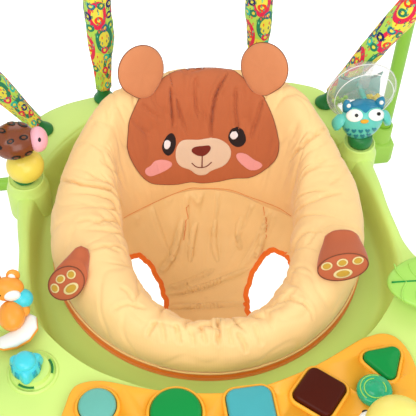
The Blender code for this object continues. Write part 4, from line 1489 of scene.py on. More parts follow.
    def leg_holes(self, laid: Applique) -> list[Piece]:
        """Cuts the leg holes and binds their edges.

        Args:
            laid: the bucket's surface.

        Returns:
            The bindings.
        """
        made, bindings, tools = laid.surface, [], []
        for side, hand in HANDS:
            out = self.spot(1, -self.hole_degrees if side > 0 else 180 + self.hole_degrees, 0)
            way = out * math.cos(self.hole_tilt) - UP * math.sin(self.hole_tilt)
            start = out * 0.035 + UP * self.hole_z
            across = way.cross(UP).normalized() * side
            up = way.cross(across).normalized() * -side
            rim = []
            for t in angles(120):
                ruffle = 1 + 0.012 * math.sin(t * 11 + side) + 0.006 * math.sin(t * 27)
                rim.append(across * (self.hole_shift + self.hole_w * math.cos(t) * ruffle) + up
                    * (self.hole_h * math.sin(t) * ruffle))
            path = [laid.tree.ray_cast(start + p, way)[0] or start + way * 0.07 + p for p in rim]
            bindings.append(piped(f"leg_hole_binding_{hand}", path, self.binding_r, Finish.BINDING, 14,
                closed=True, flat=0.8))
            tools.append(skin(f"leg_tool_{hand}", [[end + p for p in rim]
                for end in (start, start + way * 0.19)], Finish.BUCKET))
        wall = made.modifiers.new("wall", "SOLIDIFY")
        wall.thickness = self.bucket_wall
        wall.offset = 0
        applied(made)
        for tool in tools:
            cut(made, tool)
        return bindings

    def hem(self) -> list[Piece]:
        """The orange band at the pad's foot and the pale piping over it.

        Returns:
            The two pieces.
        """
        rings, line = [], []
        for place in self.foot:
            out, r = Vector((place.x, place.y, 0)).normalized(), math.hypot(place.x, place.y)
            section = ((r - 0.006, 0.3686), (r + 0.0009, 0.3684), (r + 0.0024, 0.3668),
                (0.5 * r + 0.1034, 0.364), (0.205, 0.3604), (0.2062, 0.359), (0.2062, 0.3562),
                (0.2052, 0.3552), (0.186, 0.3552))
            rings.append([out * x + UP * z for x, z in section])
            line.append(out * (r + 0.0016) + UP * 0.3688)
        return [skin("pad_hem", rings, Finish.BINDING, wrap=True), piped("pad_piping", line[::2], 0.0013,
            Finish.CREAM, 10, closed=True)]

    def face(self, laid: Applique) -> list[Piece]:
        """The bear's face, printed on the back rest.

        Args:
            laid: the pad's surface.

        Returns:
            The pieces.
        """
        pieces = [laid.patch("face_brown", FACE["head"], Finish.BROWN, 0.9, 84, 12, thick=0.9)]
        prints = [("muzzle", Finish.MUZZLE, 1.4, 24), ("nose", Finish.NOSE, 1.8, 8)]
        for _, hand in HANDS:
            prints += [(f"cheek_{hand}", Finish.BLUSH, 1.4, 14), (f"eye_{hand}", Finish.EYE, 1.4, 12),
                (f"glint_{hand}", Finish.EYE_LIGHT, 1.8, 5)]
        pieces += [laid.patch(f"face_{part}", FACE[part], finish, lift, rings) for part, finish, lift,
            rings in prints]
        return pieces + [laid.seam("face_mouth", FACE["mouth"], Finish.NOSE, 0.75, 1.9),
            laid.seam("face_lip", FACE["lip"], Finish.NOSE, 0.85, 1.9), laid.seam("face_edge_seam",
            FACE["head"], Finish.SEAM_DARK, 0.45, 1.1, closed=True)]

    def ear(self, side: int, hand: str) -> Piece:
        """A flat stuffed ear with its sewn corner at the bottom.

        Args:
            side, hand: -1 or 1, and its word.

        Returns:
            Its seam.
        """
        radius, degrees, z = self.ear_at
        degrees = 90 - side * degrees
        out = self.spot(1, degrees, 0)
        up = (UP * math.cos(self.ear_lean) + out * math.sin(self.ear_lean)).normalized()
        across = up.cross(out).normalized()
        facing, centre = across.cross(up), self.spot(radius, degrees, z)
        wide, tall, thick = self.ear_size
        outline = []
        for a in angles(96):
            low = smooth_step(-math.sin(a), 0.55, 1.0)
            outline.append((wide * math.cos(a) * (1 - 0.1 * low), tall * math.sin(a) - 0.0045 * low ** 2))
        rings = []
        for scale, level in self.ear_levels:
            ring = []
            for x, y in outline:
                lump = noise.noise(Vector((x * 60 + side, y * 60, level))) * 0.0012
                ring.append(centre + across * (x * scale) + up * (y * scale) + facing * (level * thick + lump
                    * scale))
            rings.append(ring)
        made = skin(f"stuffed_ear_{hand}", rings, Finish.EAR)
        ride(made, "seat", "ear_cloth", f"ear_{hand}")
        line = [centre + across * (x * 1.004) + up * (y * 1.004) for x, y in outline]
        return piped(f"ear_seam_{hand}", line, 0.0006, Finish.SEAM_DARK, 8, closed=True)

    def paw(self, side: int, hand: str) -> None:
        """A stuffed paw lying on the roll, with its printed sole.

        Args:
            side, hand: -1 or 1, and its word.
        """
        view = PAWS[hand]
        sole, root = Vector(view["sole"]), Vector(view["root"])
        facing, across = Vector(view["facing"]).normalized(), Vector(view["across"])
        across = (across - facing * across.dot(facing)).normalized()
        arm, thin, wide, tall = (sole - root).normalized(), view["thin"], view["wide"], view["tall"]
        rings = []
        for k in range(17):
            t = 1 - k / 16
            normal = (arm * (1 - t) + facing * t).normalized()
            wide_way = (across - normal * across.dot(normal)).normalized()
            tall_way = normal.cross(wide_way)
            size = thin + (1 - thin) * smooth_step(t, -0.15, 0.92)
            end = 0.55 + 0.45 * smooth_step(t, 0.0, 0.1) - 0.02 * smooth_step(t, 0.94, 1.0)
            middle = root.lerp(sole, t) - UP * (0.004 * math.sin(math.pi * t))
            ring = []
            for a in angles(72):
                lump = 1 + 0.05 * (1 - t) * swirl(a, 2, t * 3 + side)
                ring.append(middle + wide_way * (wide * size * end * lump * math.cos(a)) + tall_way
                    * (tall * (0.35 + 0.65 * size) * end * lump * math.sin(a)))
            rings.append(ring)
        front = [[sole + (p - sole) * scale + facing * bulge for p in rings[0]] for scale,
            bulge in ((0.05, 0.0034), (0.35, 0.0032), (0.65, 0.0024), (0.86, 0.0012), (0.96, 0.0003))]
        made = skin(f"stuffed_paw_{hand}", front + rings, Finish.PAW)
        laid, tall_way, pieces = Applique(made), facing.cross(across), []
        for i, (u, v, half_u, half_v) in enumerate(view["pads"]):
            for scale, finish, lift in ((1.0, Finish.PAD_RIM, 0.4), (0.7, Finish.PAD, 0.8)):
                spot = [VIEW.pixel(sole + across * (wide * x) + tall_way * (tall * y)) for x,
                    y in oval(u, v, half_u * scale, half_v * scale)]
                pieces.append(laid.patch(f"paw_{hand}_pad_{i}", spot, finish, lift, 4, 3, thick=0.4))
        edge = [p + facing * 0.0003 for p in rings[0]]
        pieces.append(piped(f"paw_{hand}_seam", edge, 0.0007, Finish.SEAM_DARK, 8, closed=True))
        ride(made, "seat", "paw_cloth", f"paw_{hand}")
        for piece in pieces:
            ride(piece, "seat", "paw_cloth")

    def build(self) -> None:
        """Makes the whole seat."""
        laid = self.pad()
        details = self.face(laid)
        details += [laid.seam(f"pad_seam_{i}", path, Finish.SEAM, 0.55, 0.0) for i,
            path in enumerate(PAD_SEAMS)]
        details += self.hem()
        ride(laid.surface, "seat", "seat_cloth", "seat_pad")
        hung = self.bucket()
        details += [hung.seam(f"bucket_seam_{i}", path, Finish.SEAM, 0.6, 1.9) for i,
            path in enumerate(BUCKET_SEAMS)]
        details += self.leg_holes(hung)
        ride(hung.surface, "seat", "seat_cloth", "seat_bucket")
        for side, hand in HANDS:
            details.append(self.ear(side, hand))
            self.paw(side, hand)
        for piece in details:
            ride(piece, "seat", "seat_cloth")
        ring = creased(turned("turning_ring", self.ring, Finish.RING, sides=160, wrap=True), 40)
        ride(ring, "seat", "ring_plastic", "seat_ring")


FACE = {"head": ((165.7, 76.6), (176.5, 71.5), (190, 69.2), (209.7, 68.4), (225, 69.6), (235, 71.8),
    (248, 82), (261, 94), (266, 101), (273.5, 117.6), (278.2, 135.5), (279.4, 148), (275.6, 159.7),
    (264.5, 170), (250.5, 177), (234, 178), (218.6, 181), (203, 182.6), (190.6, 181.6), (176.5, 184),
    (161, 184.2), (149.7, 182.4), (139.5, 173.8), (130.6, 159.7), (127, 148), (127.6, 133), (129.6, 119),
    (138.3, 100), (144, 94.5), (155, 85)), "muzzle": ((183, 139.8), (199, 139.2), (212, 137.3), (223, 140.5),
    (230.5, 148), (230.5, 157), (224, 165), (212, 170), (205, 174.2), (197, 174), (190, 169.5), (180, 165.5),
    (175.6, 158), (176.5, 147)), "nose": ((191.5, 149.5), (195, 146.3), (203, 145.2), (209.3, 145),
    (211, 148), (208, 152.5), (203, 155.4), (198, 155), (193.5, 152.6)), "mouth": ((191.5, 162.4), (196, 166),
    (201.5, 166.8), (207, 165.4), (211.8, 161.5)), "lip": ((201.8, 154.5), (201.9, 158), (201.7, 166.6)),
    "cheek_left": ((150, 165.5), (155, 160.5), (163, 159.4), (170.4, 161.5), (171.4, 165.2), (166, 169.6),
    (157.5, 173.6), (149.5, 176), (145, 173), (145.4, 168.6)), "cheek_right": ((236.5, 155), (240, 152.4),
    (247, 154), (254, 159), (261, 162.6), (262.5, 166), (257.5, 169.4), (250.5, 169.6), (244, 165.5),
    (238.4, 160)), "eye_left": ((163.4, 141), (167.6, 134.5), (172, 132.8), (175.2, 137.5), (175.4, 145),
    (172.4, 152), (167.8, 155.2), (163.6, 152.4), (161.6, 147)), "eye_right": ((228.8, 134), (231.4, 129),
    (236.8, 126.8), (242.4, 129), (245.8, 135), (246, 141), (242.4, 145.4), (237, 146.4), (231.8, 143.4),
    (228.8, 139)), "glint_left": ((164, 141.5), (167, 139.4), (169.8, 141.2), (169.6, 145.6), (166.8, 148.6),
    (163.8, 147)), "glint_right": ((230, 134.8), (232.6, 130.8), (236.2, 131.2), (237.9, 134.4), (236.4, 138),
    (232.8, 138.4)),}

PAD_FOLDS = ((((170.5, 86), (171.5, 104), (173, 127)), 2.8, 4.4), (((175, 98), (181, 116), (186, 132)), 3.4,
    2.4), (((228, 73), (217, 92), (212, 115), (211, 138)), 3.0, 4.6), (((236, 86), (235.5, 110), (239, 134)),
    3.2, 3.0), (((263, 98), (257, 118), (250, 138)), 3.6, 2.6), (((196, 76), (195, 96), (198, 118)), 3.4,
    2.6), (((141, 103), (151, 112), (160, 118)), 3.4, 1.7), (((130, 118), (140, 128), (152, 136)), 3.2, 1.3),
    (((58, 178), (80, 184), (100, 187), (114, 193), (123, 210)), 3.0, 5.0),
    (((326, 126.6), (304.4, 143.8), (290, 160)), 3.2, 3.2), (((326.4, 159), (309, 169.6), (301.5, 180)), 3.6,
    1.8), (((347, 169), (330, 184)), 3.4, 1.5), (((341.7, 190.7), (321.6, 197.4)), 3.6, 1.8),
    (((218, 316), (218, 328), (218.4, 346)), 3.0, 7.5), (((147, 337), (151, 329), (157, 321)), 2.8, 3.4),
    (((109, 313), (118, 307), (128, 304), (140, 307), (147, 310)), 2.8, 2.0),
    (((247, 353), (243, 342), (237, 332)), 3.0, 3.4), (((314, 321), (310, 310), (303, 303), (289, 299.5),
    (279, 304)), 2.8, 2.4), (((180, 344), (178, 334), (176, 324)), 3.0, 3.0),
    (((206, 344), (203, 334), (200, 326)), 3.0, 3.0), (((232, 346), (230, 336), (228, 328)), 3.0, 2.6),
    (((194, 346), (192, 336), (191, 329)), 3.0, 2.4), (((164, 342), (163, 332), (161, 322)), 3.0, 2.6),
    (((262, 346), (258, 334), (254, 324)), 3.2, 2.4), (((76, 222), (90, 219), (104, 226)), 4.0, 1.6),
    (((88, 250), (104, 246), (120, 252)), 3.4, 1.8), (((330, 225), (316, 232), (306, 246)), 3.4, 2.0),
    (((345, 232), (335, 242), (318, 250)), 3.2, 1.6), (((100, 160), (112, 168), (122, 180)), 4.0, 1.4),
    (((274, 330), (268, 318), (266, 308)), 3.0, 1.6), (((120, 286), (128, 292), (134, 302)), 3.0, 1.8),
    (((296, 288), (290, 294), (284, 304)), 3.0, 1.6),)
BUCKET_FOLDS = ((((182.6, 220), (173.5, 254), (160, 274)), 3.4, 5.4), (((164.5, 295), (205, 286), (250, 268)),
    3.2, 5.2), (((167, 308), (205, 306), (250, 304)), 3.0, 4.2), (((264, 222), (262, 240), (256, 258)), 3.4,
    4.8), (((215, 220), (214, 244), (218, 262)), 3.8, 3.6), (((240, 218), (238, 236), (241, 250)), 3.4, 3.6),
    (((196, 222), (192, 240), (190, 262)), 3.6, 3.6), (((168, 288), (190, 281), (214, 270)), 3.2, 3.8),)
PAD_SEAMS = (((124, 217.5), (146.8, 206), (168.5, 196.2), (188, 188.8), (201, 188.2), (229, 189.8),
    (248.7, 196.6), (277, 207.2), (291, 216)), ((141, 97.5), (153, 88), (165.5, 77)),
    ((262, 95), (249, 83), (236, 72.5)),)
BUCKET_SEAMS = (((187, 205), (187, 220), (184, 240)), ((264, 206), (266, 222), (266, 238)))
PAWS = {"left": {"sole": (-0.186, -0.1, 0.44), "root": (-0.16, -0.069, 0.465), "facing": (-0.45, -0.68, 0.57),
    "across": (0.79, -0.01, 0.61), "wide": 0.0265, "tall": 0.0195, "thin": 0.18,
    "pads": ((0.46, 0.3, 0.24, 0.27), (-0.14, 0.4, 0.26, 0.25), (-0.64, 0.1, 0.22, 0.3),
    (0.08, -0.42, 0.42, 0.31))}, "right": {"sole": (0.1385, -0.1395, 0.463), "root": (0.15, -0.09, 0.463),
    "facing": (-0.05, -0.92, 0.38), "across": (1.0, 0.0, 0.08), "wide": 0.031, "tall": 0.0185, "thin": 0.62,
    "pads": ((-0.62, 0.26, 0.22, 0.29), (-0.02, 0.34, 0.22, 0.29), (0.58, 0.32, 0.22, 0.29),
    (-0.02, -0.46, 0.37, 0.33))},}


# Toys

def mount_toy(body: str, pieces: Sequence[Piece], node: str = "", name: str = "", on: str = "") -> None:
    """Joins a toy's pieces and puts them in place of its node."""
    node = node or body
    ride(joined(name or f"{node}_dressed", pieces), on or body, f"{body}_plastic", node)


def eggs(at: Vector, rows: Sequence[tuple]) -> list[Piece]:
    """Several ellipsoids about a point, each a name, a place, radii, a finish, and sides and rows."""
    return [egg(name, at + Vector(place), radii, finish, *fineness) for name, place, radii, finish,
        *fineness in rows]


def raised(radii: Sequence[Point], z: float = 0.0) -> list[Point]:
    """A lathe profile whose heights are measured from z."""
    return [(r, z + h) for r, h in radii]


@dataclass
class Owl:
    """The owl on the right: a bowl-shaped aqua body with a petrol cap, before a see-through drum of beads.

    The prints' places are in pixels, the beads' in mm from the drum's middle."""

    at: Vector = field(default_factory=lambda: Vector((0.2295, 0.108, 0.4555)))
    radii: tuple = (0.0292, 0.0215, 0.033)
    drum_at: tuple = (0.2395, 0.1518, 0.466)
    pivot: Point = (0.2335, 0.1018)
    cap: tuple = ((337.6, 110.6), (339.0, 101.0), (343.5, 98.4), (352, 96.9), (364, 96.0), (376, 96.2),
        (386, 97.4), (389.8, 100.0), (390, 109.6), (384, 107.4), (377, 107.4), (370, 109.4), (365.6, 112.9),
        (360, 109.4), (352, 107.6), (344, 108.6))
    eyes: tuple = (("left", (354.6, 115.6, 8.2, 6.2), (356.7, 115.4)), ("right", (376.2, 115.0, 7.8, 5.9),
        (378.2, 113.9)))
    beak: Point = (364.6, 121.3)
    heart: tuple = ((0, -1.0), (1.4, -1.7), (2.4, -0.8), (1.5, 0.9), (0, 1.9), (-1.5, 0.9), (-2.4, -0.8),
        (-1.4, -1.7))
    hearts: tuple = (((347.4, 130.0), (354, 131.0), (360.8, 131.2), (367.5, 130.8), (374.2, 129.4)),
        ((349.2, 135.0), (356, 136.0), (362.4, 136.0), (368.8, 135.0)))
    tuft: tuple = ((0.0078, -0.008), (0.0068, -0.001), (0.0045, 0.004), (0.0015, 0.0075), (0.0002, 0.0079))
    wing: tuple = ((0, 0, 0.012, 0.35), (0.005, 0.001, 0.006, 0.95), (0.009, 0.003, -0.004, 1.0),
        (0.009, 0.005, -0.012, 0.45))
    back: tuple = ((-0.03, -0.026), (-0.027, 0.004), (-0.029, 0.014), (-0.022, 0.007), (0, 0.009),
        (0.022, 0.007), (0.029, 0.014), (0.027, 0.004), (0.03, -0.026), (0.0, -0.034))
    drum_side: tuple = ((0.006, -0.015), (0.02, -0.0155), (0.034, -0.015), (0.041, -0.013), (0.046, -0.0095),
        (0.049, -0.0045), (0.05, 0), (0.049, 0.0045), (0.046, 0.0095), (0.041, 0.013), (0.034, 0.015),
        (0.02, 0.0155), (0.006, 0.015))
    beads: tuple = ((Finish.BEAD_GREEN, ((-40.5, -7), (-34.5, -7.2), (-28.5, -6.8), (-22.5, -6.5), (-37, -12),
        (-31, -12.4), (-25, -12))), (Finish.BEAD_YELLOW, ((8, -5), (13.5, -8.6), (19, -8.2), (24, -9),
        (10, -10), (15.5, -14), (21, -14))))

    def bowl(self, p: Vector) -> Vector:
        """Flattens the body's top and tapers its bottom.

        Args:
            p: a point about the middle.

        Returns:
            The moved point.
        """
        half = self.radii[2]
        up = p.z / half
        wide = 1.0 + 0.1 * up if up < 0.4 else 1.04 - 0.05 * (up - 0.4)
        return Vector((p.x * wide, p.y * wide, p.z if up < 0.55 else half * (0.55 + (up - 0.55) * 0.82)))

    def prints(self, laid: Applique) -> list[Piece]:
        """The cap, eyes, hearts and beak on the body.

        Args:
            laid: the body's surface.

        Returns:
            The pieces.
        """
        pieces = [laid.patch("owl_cap", self.cap, Finish.BLUE, 0.5, 14)]
        for side, eye, pupil in self.eyes:
            pieces += [laid.patch(f"owl_eye_{side}", oval(*eye), Finish.WHITE, 0.5, 8),
                laid.patch(f"owl_pupil_{side}", oval(*pupil, 1.8, 1.7, 8), Finish.BLACK, 1.0, 4)]
        for row, places in enumerate(self.hearts):
            for i, (x, y) in enumerate(places):
                pieces.append(laid.patch(f"owl_heart_{row}_{i}", [(x + dx, y + dy) for dx, dy in self.heart],
                    Finish.PETROL, 0.4, 3, 3))
        return pieces + [egg("owl_beak", laid.hit(*self.beak), (0.0058, 0.0034, 0.0028), Finish.AMBER, 24,
            14)]

    def drum(self) -> None:
        """The clear drum with its spokes, its rims and its beads."""
        centre = Vector(self.drum_at)
        shell = turned("clear_drum", rounded(self.drum_side, 3), Finish.CLEAR, centre, (0, 1, 0), 96)
        ride(shell, "drum", "drum_plastic", "owl_drum")
        parts = []
        for degrees in (86, 206, 326):
            way = Vector((math.cos(math.radians(degrees)), 0, math.sin(math.radians(degrees))))
            parts.append(piped(f"drum_spoke_{degrees}", [centre + way * t for t in (0.006, 0.02, 0.035,
                0.0475)], 0.0016, Finish.CLEAR, 8, flat=5.0))
        for radius, y in ((0.0415, -0.0125), (0.0485, 0.0)):
            ring = [centre + Vector((radius * math.cos(a), y, radius * math.sin(a))) for a in angles(96)]
            parts.append(piped("drum_rim", ring, 0.0007, Finish.WHITE, 8, closed=True))
        for finish, places in self.beads:
            parts += eggs(centre, [(f"bead_{i}", (dx * MM, -0.006 + 0.004 * (i % 2), dz * MM), (0.0033,) * 3,
                finish, 16, 10) for i, (dx, dz) in enumerate(places)])
        ride(joined("drum_fittings", parts), "drum", "drum_plastic")

    def build(self) -> None:
        """Makes the owl."""
        _, y, z = self.at
        made = egg("owl_shell", self.at, self.radii, Finish.AQUA, 72, 48, self.bowl)
        pieces = [made, *self.prints(Applique(made))]
        for side in (-1, 1):
            place = self.at + Vector((side * 0.0235, 0.004, 0.0265))
            pieces.append(turned(f"owl_tuft_{side}", self.tuft, Finish.BLUE, place, (side * 0.3, 0.1, 1), 28))
            pieces.append(egg(f"owl_tuft_white_{side}", place + Vector((-side * 0.0008, -0.0046, 0.0018)),
                (0.003, 0.0024, 0.0034), Finish.WHITE, 20, 12))
            root = self.at + Vector((side * 0.027, -0.004, 0))
            pieces.append(skin(f"owl_wing_{side}", [[root + Vector((side * dx + 0.0062 * s * math.cos(a),
                dy + 0.01 * s * math.sin(a), dz + 0.002 * math.sin(a))) for a in angles(28)] for dx, dy, dz,
                s in self.wing], Finish.AQUA))
        pieces.append(turned("owl_neck", [(0.0165, -0.041), (0.0175, -0.0355), (0.0165, -0.03),
            (0.015, -0.024)], Finish.HOOK, (self.pivot[0] - 0.002, self.pivot[1] + 0.003, z)))
        pieces.append(piped("owl_axle", [(self.drum_at[0], y + dy, self.drum_at[2]) for dy in (0.004, 0.03,
            0.055, 0.067)], 0.0034, Finish.AQUA, 20))
        shell = Vector((self.drum_at[0] + 0.002, y + 0.0635, self.drum_at[2]))
        pieces.append(skin("owl_back_shell", [[shell + Vector((dx * 1.12, dy, dz)) for dx, dz in self.back]
            for dy in (0.0, 0.0022)], Finish.AQUA))
        mount_toy("owl", pieces, "owl_body")
        self.drum()


@dataclass
class Bug:
    """The brown ladybird on its yellow ball, on the left. Its prints' places are in pixels."""

    x: float = -0.2315
    y: float = 0.101
    flat_z: float = -0.01
    spots: tuple = ((11.0, 123.4, 4.2, 2.2, 0.15), (22.6, 124.4, 5.4, 2.4, 0.35), (23.4, 137.6, 4.4, 2.6,
        -0.1), (10.5, 141.6, 3.8, 2.4, -0.4), (28.6, 153.4, 4.2, 1.8, -0.45), (16.2, 157.6, 4.8, 1.7, -0.15),
        (2.0, 131.0, 4.0, 2.4, 0.2), (-1.5, 147.0, 4.0, 2.2, 0.5))
    eyes: tuple = ((39.4, 139.8, 1.5, 2.2), (46.2, 129.8, 2.0, 2.2))

    def dome(self, p: Vector) -> Vector:
        """Flattens the bug's underside."""
        return Vector((p.x, p.y, p.z if p.z > self.flat_z else self.flat_z + (p.z - self.flat_z) * 0.5))

    def build(self) -> None:
        """Makes the ball, then the spotted bug with its pink head."""
        x, y = self.x, self.y
        ball = egg("bug_ball", (x + 0.002, y, 0.438), (0.025, 0.024, 0.0235), Finish.YELLOW, 64, 40)
        stem = piped("bug_post", [(x - 0.002, y + 0.0008, z) for z in (0.455, 0.465, 0.474)], 0.0044,
            Finish.YELLOW, 20)
        neck = turned("bug_neck", [(0.015, 0.4143), (0.0165, 0.4175), (0.015, 0.4215)], Finish.HOOK,
            (x - 0.001, y + 0.0008, 0))
        mount_toy("bug_base", [ball, stem, neck], name="bug_ball_dressed", on="tray")
        made = egg("bug_dome", (x - 0.0055, y + 0.002, 0.483), (0.029, 0.027, 0.0225), Finish.COCOA, 64, 40,
            self.dome)
        laid, pieces = Applique(made), [made]
        for i, (px, py, wide, tall, lean) in enumerate(self.spots):
            if laid.hit(px, py) is not None:
                pieces.append(laid.patch(f"bug_spot_{i}", oval(px, py, wide, tall, 10, lean), Finish.BLACK,
                    0.4, 5))
                pieces.append(laid.patch(f"bug_spot_heart_{i}", oval(px, py, wide / 2, tall / 2, 10, lean),
                    Finish.SEAM_DARK, 0.7, 4))
        head = egg("bug_head", (x + 0.025, y - 0.001, 0.485), (0.0125, 0.0165, 0.0165), Finish.PINK, 40, 26)
        face = Applique(head)
        pieces.append(head)
        pieces += [face.patch("bug_eye", oval(*eye, 8), Finish.BLACK, 0.4, 4) for eye in self.eyes
            if face.hit(*eye[:2]) is not None]
        mount_toy("bug", pieces)


@dataclass
class Fox:
    """The fox that hugs a cyan ball, its tail curled round in front."""

    at: Vector = field(default_factory=lambda: Vector((-0.256, -0.118, 0)))
    foot: tuple = ((0.0098, 0.4063), (0.0098, 0.409), (0.008, 0.416), (0.008, 0.42))
    lumps: tuple = (("fox_trunk", (0.004, -0.012, 0.43), (0.016, 0.019, 0.0165), Finish.ORANGE, 40, 26),
        ("fox_head", (0.002, 0.014, 0.448), (0.0195, 0.014, 0.015), Finish.ORANGE, 44, 28),
        ("fox_cheek", (0.0075, 0.003, 0.449), (0.01, 0.006, 0.008), Finish.WHITE, 32, 20),
        ("fox_arm", (0.017, -0.006, 0.429), (0.0085, 0.008, 0.0075), Finish.ORANGE, 28, 18),
        ("fox_ball", (0.017, 0.0055, 0.437), (0.0135, 0.012, 0.012), Finish.CYAN, 40, 26),
        ("fox_brow", (-0.006, 0.002, 0.453), (0.0014, 0.0014, 0.0014), Finish.BLACK, 12, 8))
    ear: tuple = (("fox_ear", (0, 0, 0), (0.0082, 0.005, 0.01), Finish.ORANGE, 28, 18),
        ("fox_ear_inner", (-0.0012, -0.0034, 0.0016), (0.0046, 0.003, 0.006), Finish.WHITE, 24, 14))
    tail: tuple = ((-0.02, -0.038, 0.416), (-0.008, -0.039, 0.417), (0.004, -0.037, 0.418),
        (0.015, -0.031, 0.419), (0.0225, -0.022, 0.42), (0.024, -0.013, 0.421), (0.02, -0.007, 0.4215))
    fat: tuple = (0.004, 0.0085, 0.0108, 0.0115, 0.0105, 0.0075, 0.003)

    def build(self) -> None:
        """Makes the fox."""
        pieces = [turned("fox_foot", self.foot, Finish.ORANGE, self.at), *eggs(self.at, self.lumps)]
        for dx in (-0.012, 0.01):
            pieces += eggs(self.at + Vector((dx, 0.026, 0.4565)), self.ear)
        tail = [self.at + Vector(p) for p in self.tail]
        for name, grow, drop, finish in (("fox_tail", 1.0, 0.0, Finish.WHITE), ("fox_tail_edge", 1.1, -0.003,
                Finish.ORANGE)):
            rings = []
            for i, (point, fat) in enumerate(zip(tail, self.fat)):
                way = (tail[min(i + 1, 6)] - tail[max(i - 1, 0)]).normalized()
                side = way.cross(UP).normalized()
                rings.append([point + UP * drop + side * (fat * grow * math.cos(a)) + UP
                    * (0.0058 * fat / 0.0115 * math.sin(a)) for a in angles(28)])
            pieces.append(skin(name, rings, finish))
        mount_toy("fox", pieces)


@dataclass
class Knob:
    """The three-lobed cyan knob that clicks round. Its levels are a height, a radius and a lobe's height."""

    at: Vector = field(default_factory=lambda: Vector((-0.239, -0.191, 0.4103)))
    levels: tuple = ((0, 0.0165, 0.0048), (0.001, 0.0168, 0.0048), (0.01, 0.015, 0.0048),
        (0.013, 0.0138, 0.004), (0.0145, 0.012, 0.0015))
    cap: tuple = ((0.0128, 0.009), (0.0126, 0.0165), (0.0112, 0.0195), (0.0075, 0.0218), (0.003, 0.0225),
        (0.0003, 0.0226))
    rib: tuple = ((0.0163, -0.0026, 0.002), (0.0163, 0.0026, 0.002), (0.015, 0.0024, 0.0105),
        (0.015, -0.0024, 0.0105))
    turn: float = 0.5
    rib_gap: float = 0.36

    def build(self) -> None:
        """Makes the knob with its cap and the ribs between its lobes."""
        rings = [[self.at + polar(radius + lobe * max(math.cos(3 * (a - self.turn)), 0) ** 2, a, z)
            for a in angles(144)] for z, radius, lobe in self.levels]
        pieces = [skin("knob_body", rings, Finish.CYAN), turned("knob_cap", self.cap, Finish.CYAN, self.at,
            (0, 0, 1), 64)]
        for i in (0, 2, 3, 5, 6, 8):
            a = self.turn + math.pi / 3 + (i // 3) * math.tau / 3 + (i % 3 - 1) * self.rib_gap
            way, side = polar(1, a), Vector((-math.sin(a), math.cos(a), 0))
            rows = [[self.at + way * (r + s) + side * w + UP * z for r, w, z in self.rib]
                for s in (-0.002, 0.0008)]
            pieces.append(skin(f"knob_rib_{i}", rows, Finish.CYAN_DEEP))
        mount_toy("knob", pieces)


@dataclass
class Leaf:
    """The flat lime leaf on the right, its veins raised. A level is a scale and a height in thicknesses."""

    at: Vector = field(default_factory=lambda: Vector((0.246, -0.15, 0)))
    z: float = 0.424
    thick: float = 0.0085
    levels: tuple = ((0.02, -0.5), (0.5, -0.48), (0.85, -0.4), (0.96, -0.2), (1.0, 0.0), (0.985, 0.25),
        (0.93, 0.42), (0.75, 0.5), (0.5, 0.54), (0.25, 0.56), (0.02, 0.57))
    foot: tuple = ((0.0098, 0.4083), (0.0098, 0.411), (0.008, 0.417), (0.008, 0.4205))

    def build(self) -> None:
        """Makes the leaf."""
        turn = Matrix.Rotation(math.radians(-6), 3, "Z")
        outline = [turn @ Vector((-0.045 * math.cos(a) * (1 if math.cos(a) > 0 else 0.8), 0.04 * math.sin(a)
            * (1 - 0.22 * math.cos(a)), 0)) for a in angles(96)]
        centre = self.at + Vector((-0.004, 0, self.z))
        pieces = [skin("leaf_blade", [[centre + p * scale + UP * (level * self.thick) for p in outline]
            for scale, level in self.levels], Finish.LEAF)]
        veins = [((-0.04, 0), (0.0, 0.001), (0.032, 0))]
        for x in (-0.022, -0.004, 0.014):
            veins += [((x, 0), (x - 0.008, side * 0.014), (x - 0.01, side * 0.027)) for side in (1, -1)]
        for i, vein in enumerate(veins):
            path = [centre + turn @ Vector((px, py, 0.0046)) for px, py in rounded(vein, 6)]
            pieces.append(piped(f"leaf_vein_{i}", path, 0.0011, Finish.LEAF if i else Finish.KEY_GREEN, 10))
        pieces.append(turned("leaf_foot", self.foot, Finish.LEAF, self.at))
        mount_toy("leaf", pieces)


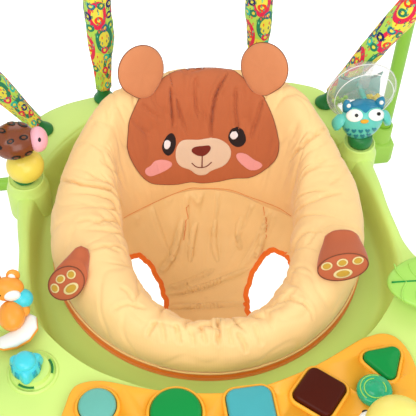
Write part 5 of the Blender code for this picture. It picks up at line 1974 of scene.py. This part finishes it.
@dataclass
class ChickRoller:
    """The pale chick's head on its collar, and the see-through green roller beside it."""

    chick: Vector = field(default_factory=lambda: Vector((0.148, -0.332, 0)))
    roller: Point = (0.146, -0.278)
    low: float = 0.4096
    neck: tuple = ((0.0138, 0.4083), (0.015, 0.411), (0.0158, 0.416), (0.015, 0.424))
    lumps: tuple = (("chick_collar", (-0.024, 0.012, 0.433), (0.011, 0.008, 0.01), Finish.WHITE, 32, 20),
        ("chick_spot", (-0.0262, 0.0185, 0.4372), (0.0036, 0.0022, 0.0024), Finish.BLACK, 16, 10),
        ("chick_beak", (-0.003, -0.0365, 0.445), (0.005, 0.006, 0.0034), Finish.AMBER, 24, 14),
        ("chick_eye", (-0.013, -0.031, 0.454), (0.003, 0.0022, 0.0034), Finish.BLACK, 16, 10),
        ("chick_eye", (0.013, -0.031, 0.454), (0.003, 0.0022, 0.0034), Finish.BLACK, 16, 10))
    disc: tuple = ((0.0185, 0), (0.0196, 0.0006), (0.0202, 0.003), (0.02, 0.006), (0.0186, 0.0085),
        (0.015, 0.01), (0.0142, 0.0094), (0.009, 0.0096), (0.008, 0.0108), (0.0003, 0.0112))
    arcs: tuple = ((0.0166, 60, 230), (0.0122, 80, 300), (0.0122, 330, 400))

    def build(self) -> None:
        """Makes the chick, then the roller."""
        head = egg("chick_head", self.chick + Vector((-0.001, -0.005, 0.447)), (0.0325, 0.031, 0.03),
            Finish.CHICK, 64, 42)
        mount_toy("chick", [head, turned("chick_neck", self.neck, Finish.CHICK, self.chick),
            *eggs(self.chick, self.lumps)])
        x, y = self.roller
        pieces = [turned("roller_disc", raised(self.disc, self.low), Finish.ROLLER, (x, y, 0), sides=72)]
        for radius, start, stop in self.arcs:
            path = [Vector((x, y, self.low + 0.0096)) + polar(radius, math.radians(a))
                for a in range(start, stop, 10)]
            pieces.append(piped("roller_arc", path, 0.0007, Finish.LEAF, 8))
        mount_toy("roller", pieces)


# Studio

@dataclass
class Studio:
    """A plain pale floor and even soft light."""

    key: float = 26.0
    fill: float = 0.78
    glow: float = 0.55
    lamps: tuple = (("key", (-1.1, -1.2, 2.6), 1.0, 1.6), ("side", (1.9, 0.3, 1.9), 0.35, 1.4),
        ("back", (-0.2, 2.2, 1.8), 0.3, 1.6), ("front", (0.3, -2.3, 1.3), 0.95, 1.8))

    def seen(self, tree: Tree) -> Socket:
        """1 where the camera looks, straight or through something clear."""
        path = add(tree, "ShaderNodeLightPath")
        return worked(tree, "MAXIMUM", path.outputs["Is Camera Ray"], path.outputs["Is Transmission Ray"])

    def build(self) -> None:
        """Makes the floor, lamps and world."""
        mesh = bpy.data.meshes.new("studio_floor")
        mesh.from_pydata([(-6, -6, -0.0005), (6, -6, -0.0005), (6, 6, -0.0005), (-6, 6, -0.0005)], [],
            [(0, 1, 2, 3)])
        made, tree, shader = blank("studio_floor_paper")
        shader.inputs["Base Color"].default_value = (0.86, 0.86, 0.86, 1)
        shader.inputs["Roughness"].default_value = 0.9
        tree.links.new(worked(tree, "MULTIPLY", self.seen(tree), self.glow),
            shader.inputs["Emission Strength"])
        shader.inputs["Emission Color"].default_value = (1, 1, 1, 1)
        mesh.materials.append(made)
        linked("studio_floor", mesh)
        for name, place, share, size in self.lamps:
            data = bpy.data.lights.new(f"studio_{name}", "AREA")
            data.energy = self.key * share
            data.size = size
            lamp = linked(f"studio_{name}", data)
            lamp.location = place
            lamp.rotation_euler = (Vector((0, 0, 0.4)) - Vector(place)).to_track_quat("-Z", "Y").to_euler()
        world = bpy.data.worlds.new("studio_world")
        bpy.context.scene.world = world
        world.use_nodes = True
        tree = world.node_tree
        back = tree.nodes["Background"]
        back.inputs["Color"].default_value = (1, 1, 1, 1)
        strength = add(tree, "ShaderNodeMix", inputs={0: self.seen(tree), 2: self.fill, 3: 1.0})
        tree.links.new(strength.outputs[0], back.inputs["Strength"])
        bpy.context.scene.view_settings.view_transform = "Standard"


def main() -> None:
    """Builds the dressed jumper, one sub-assembly after another."""
    logging.basicConfig(level=logging.INFO, format="%(message)s")
    VIEW.camera()
    Studio().build()
    TubeFrame().build()
    StrapSet().build()
    PlayTray().build()
    KeyPanel().build()
    BearSeat().build()
    for piece in (Owl(), Bug(), Fox(), Knob(), Leaf(), ChickRoller()):
        piece.build()


if __name__ == "__main__":
    main()
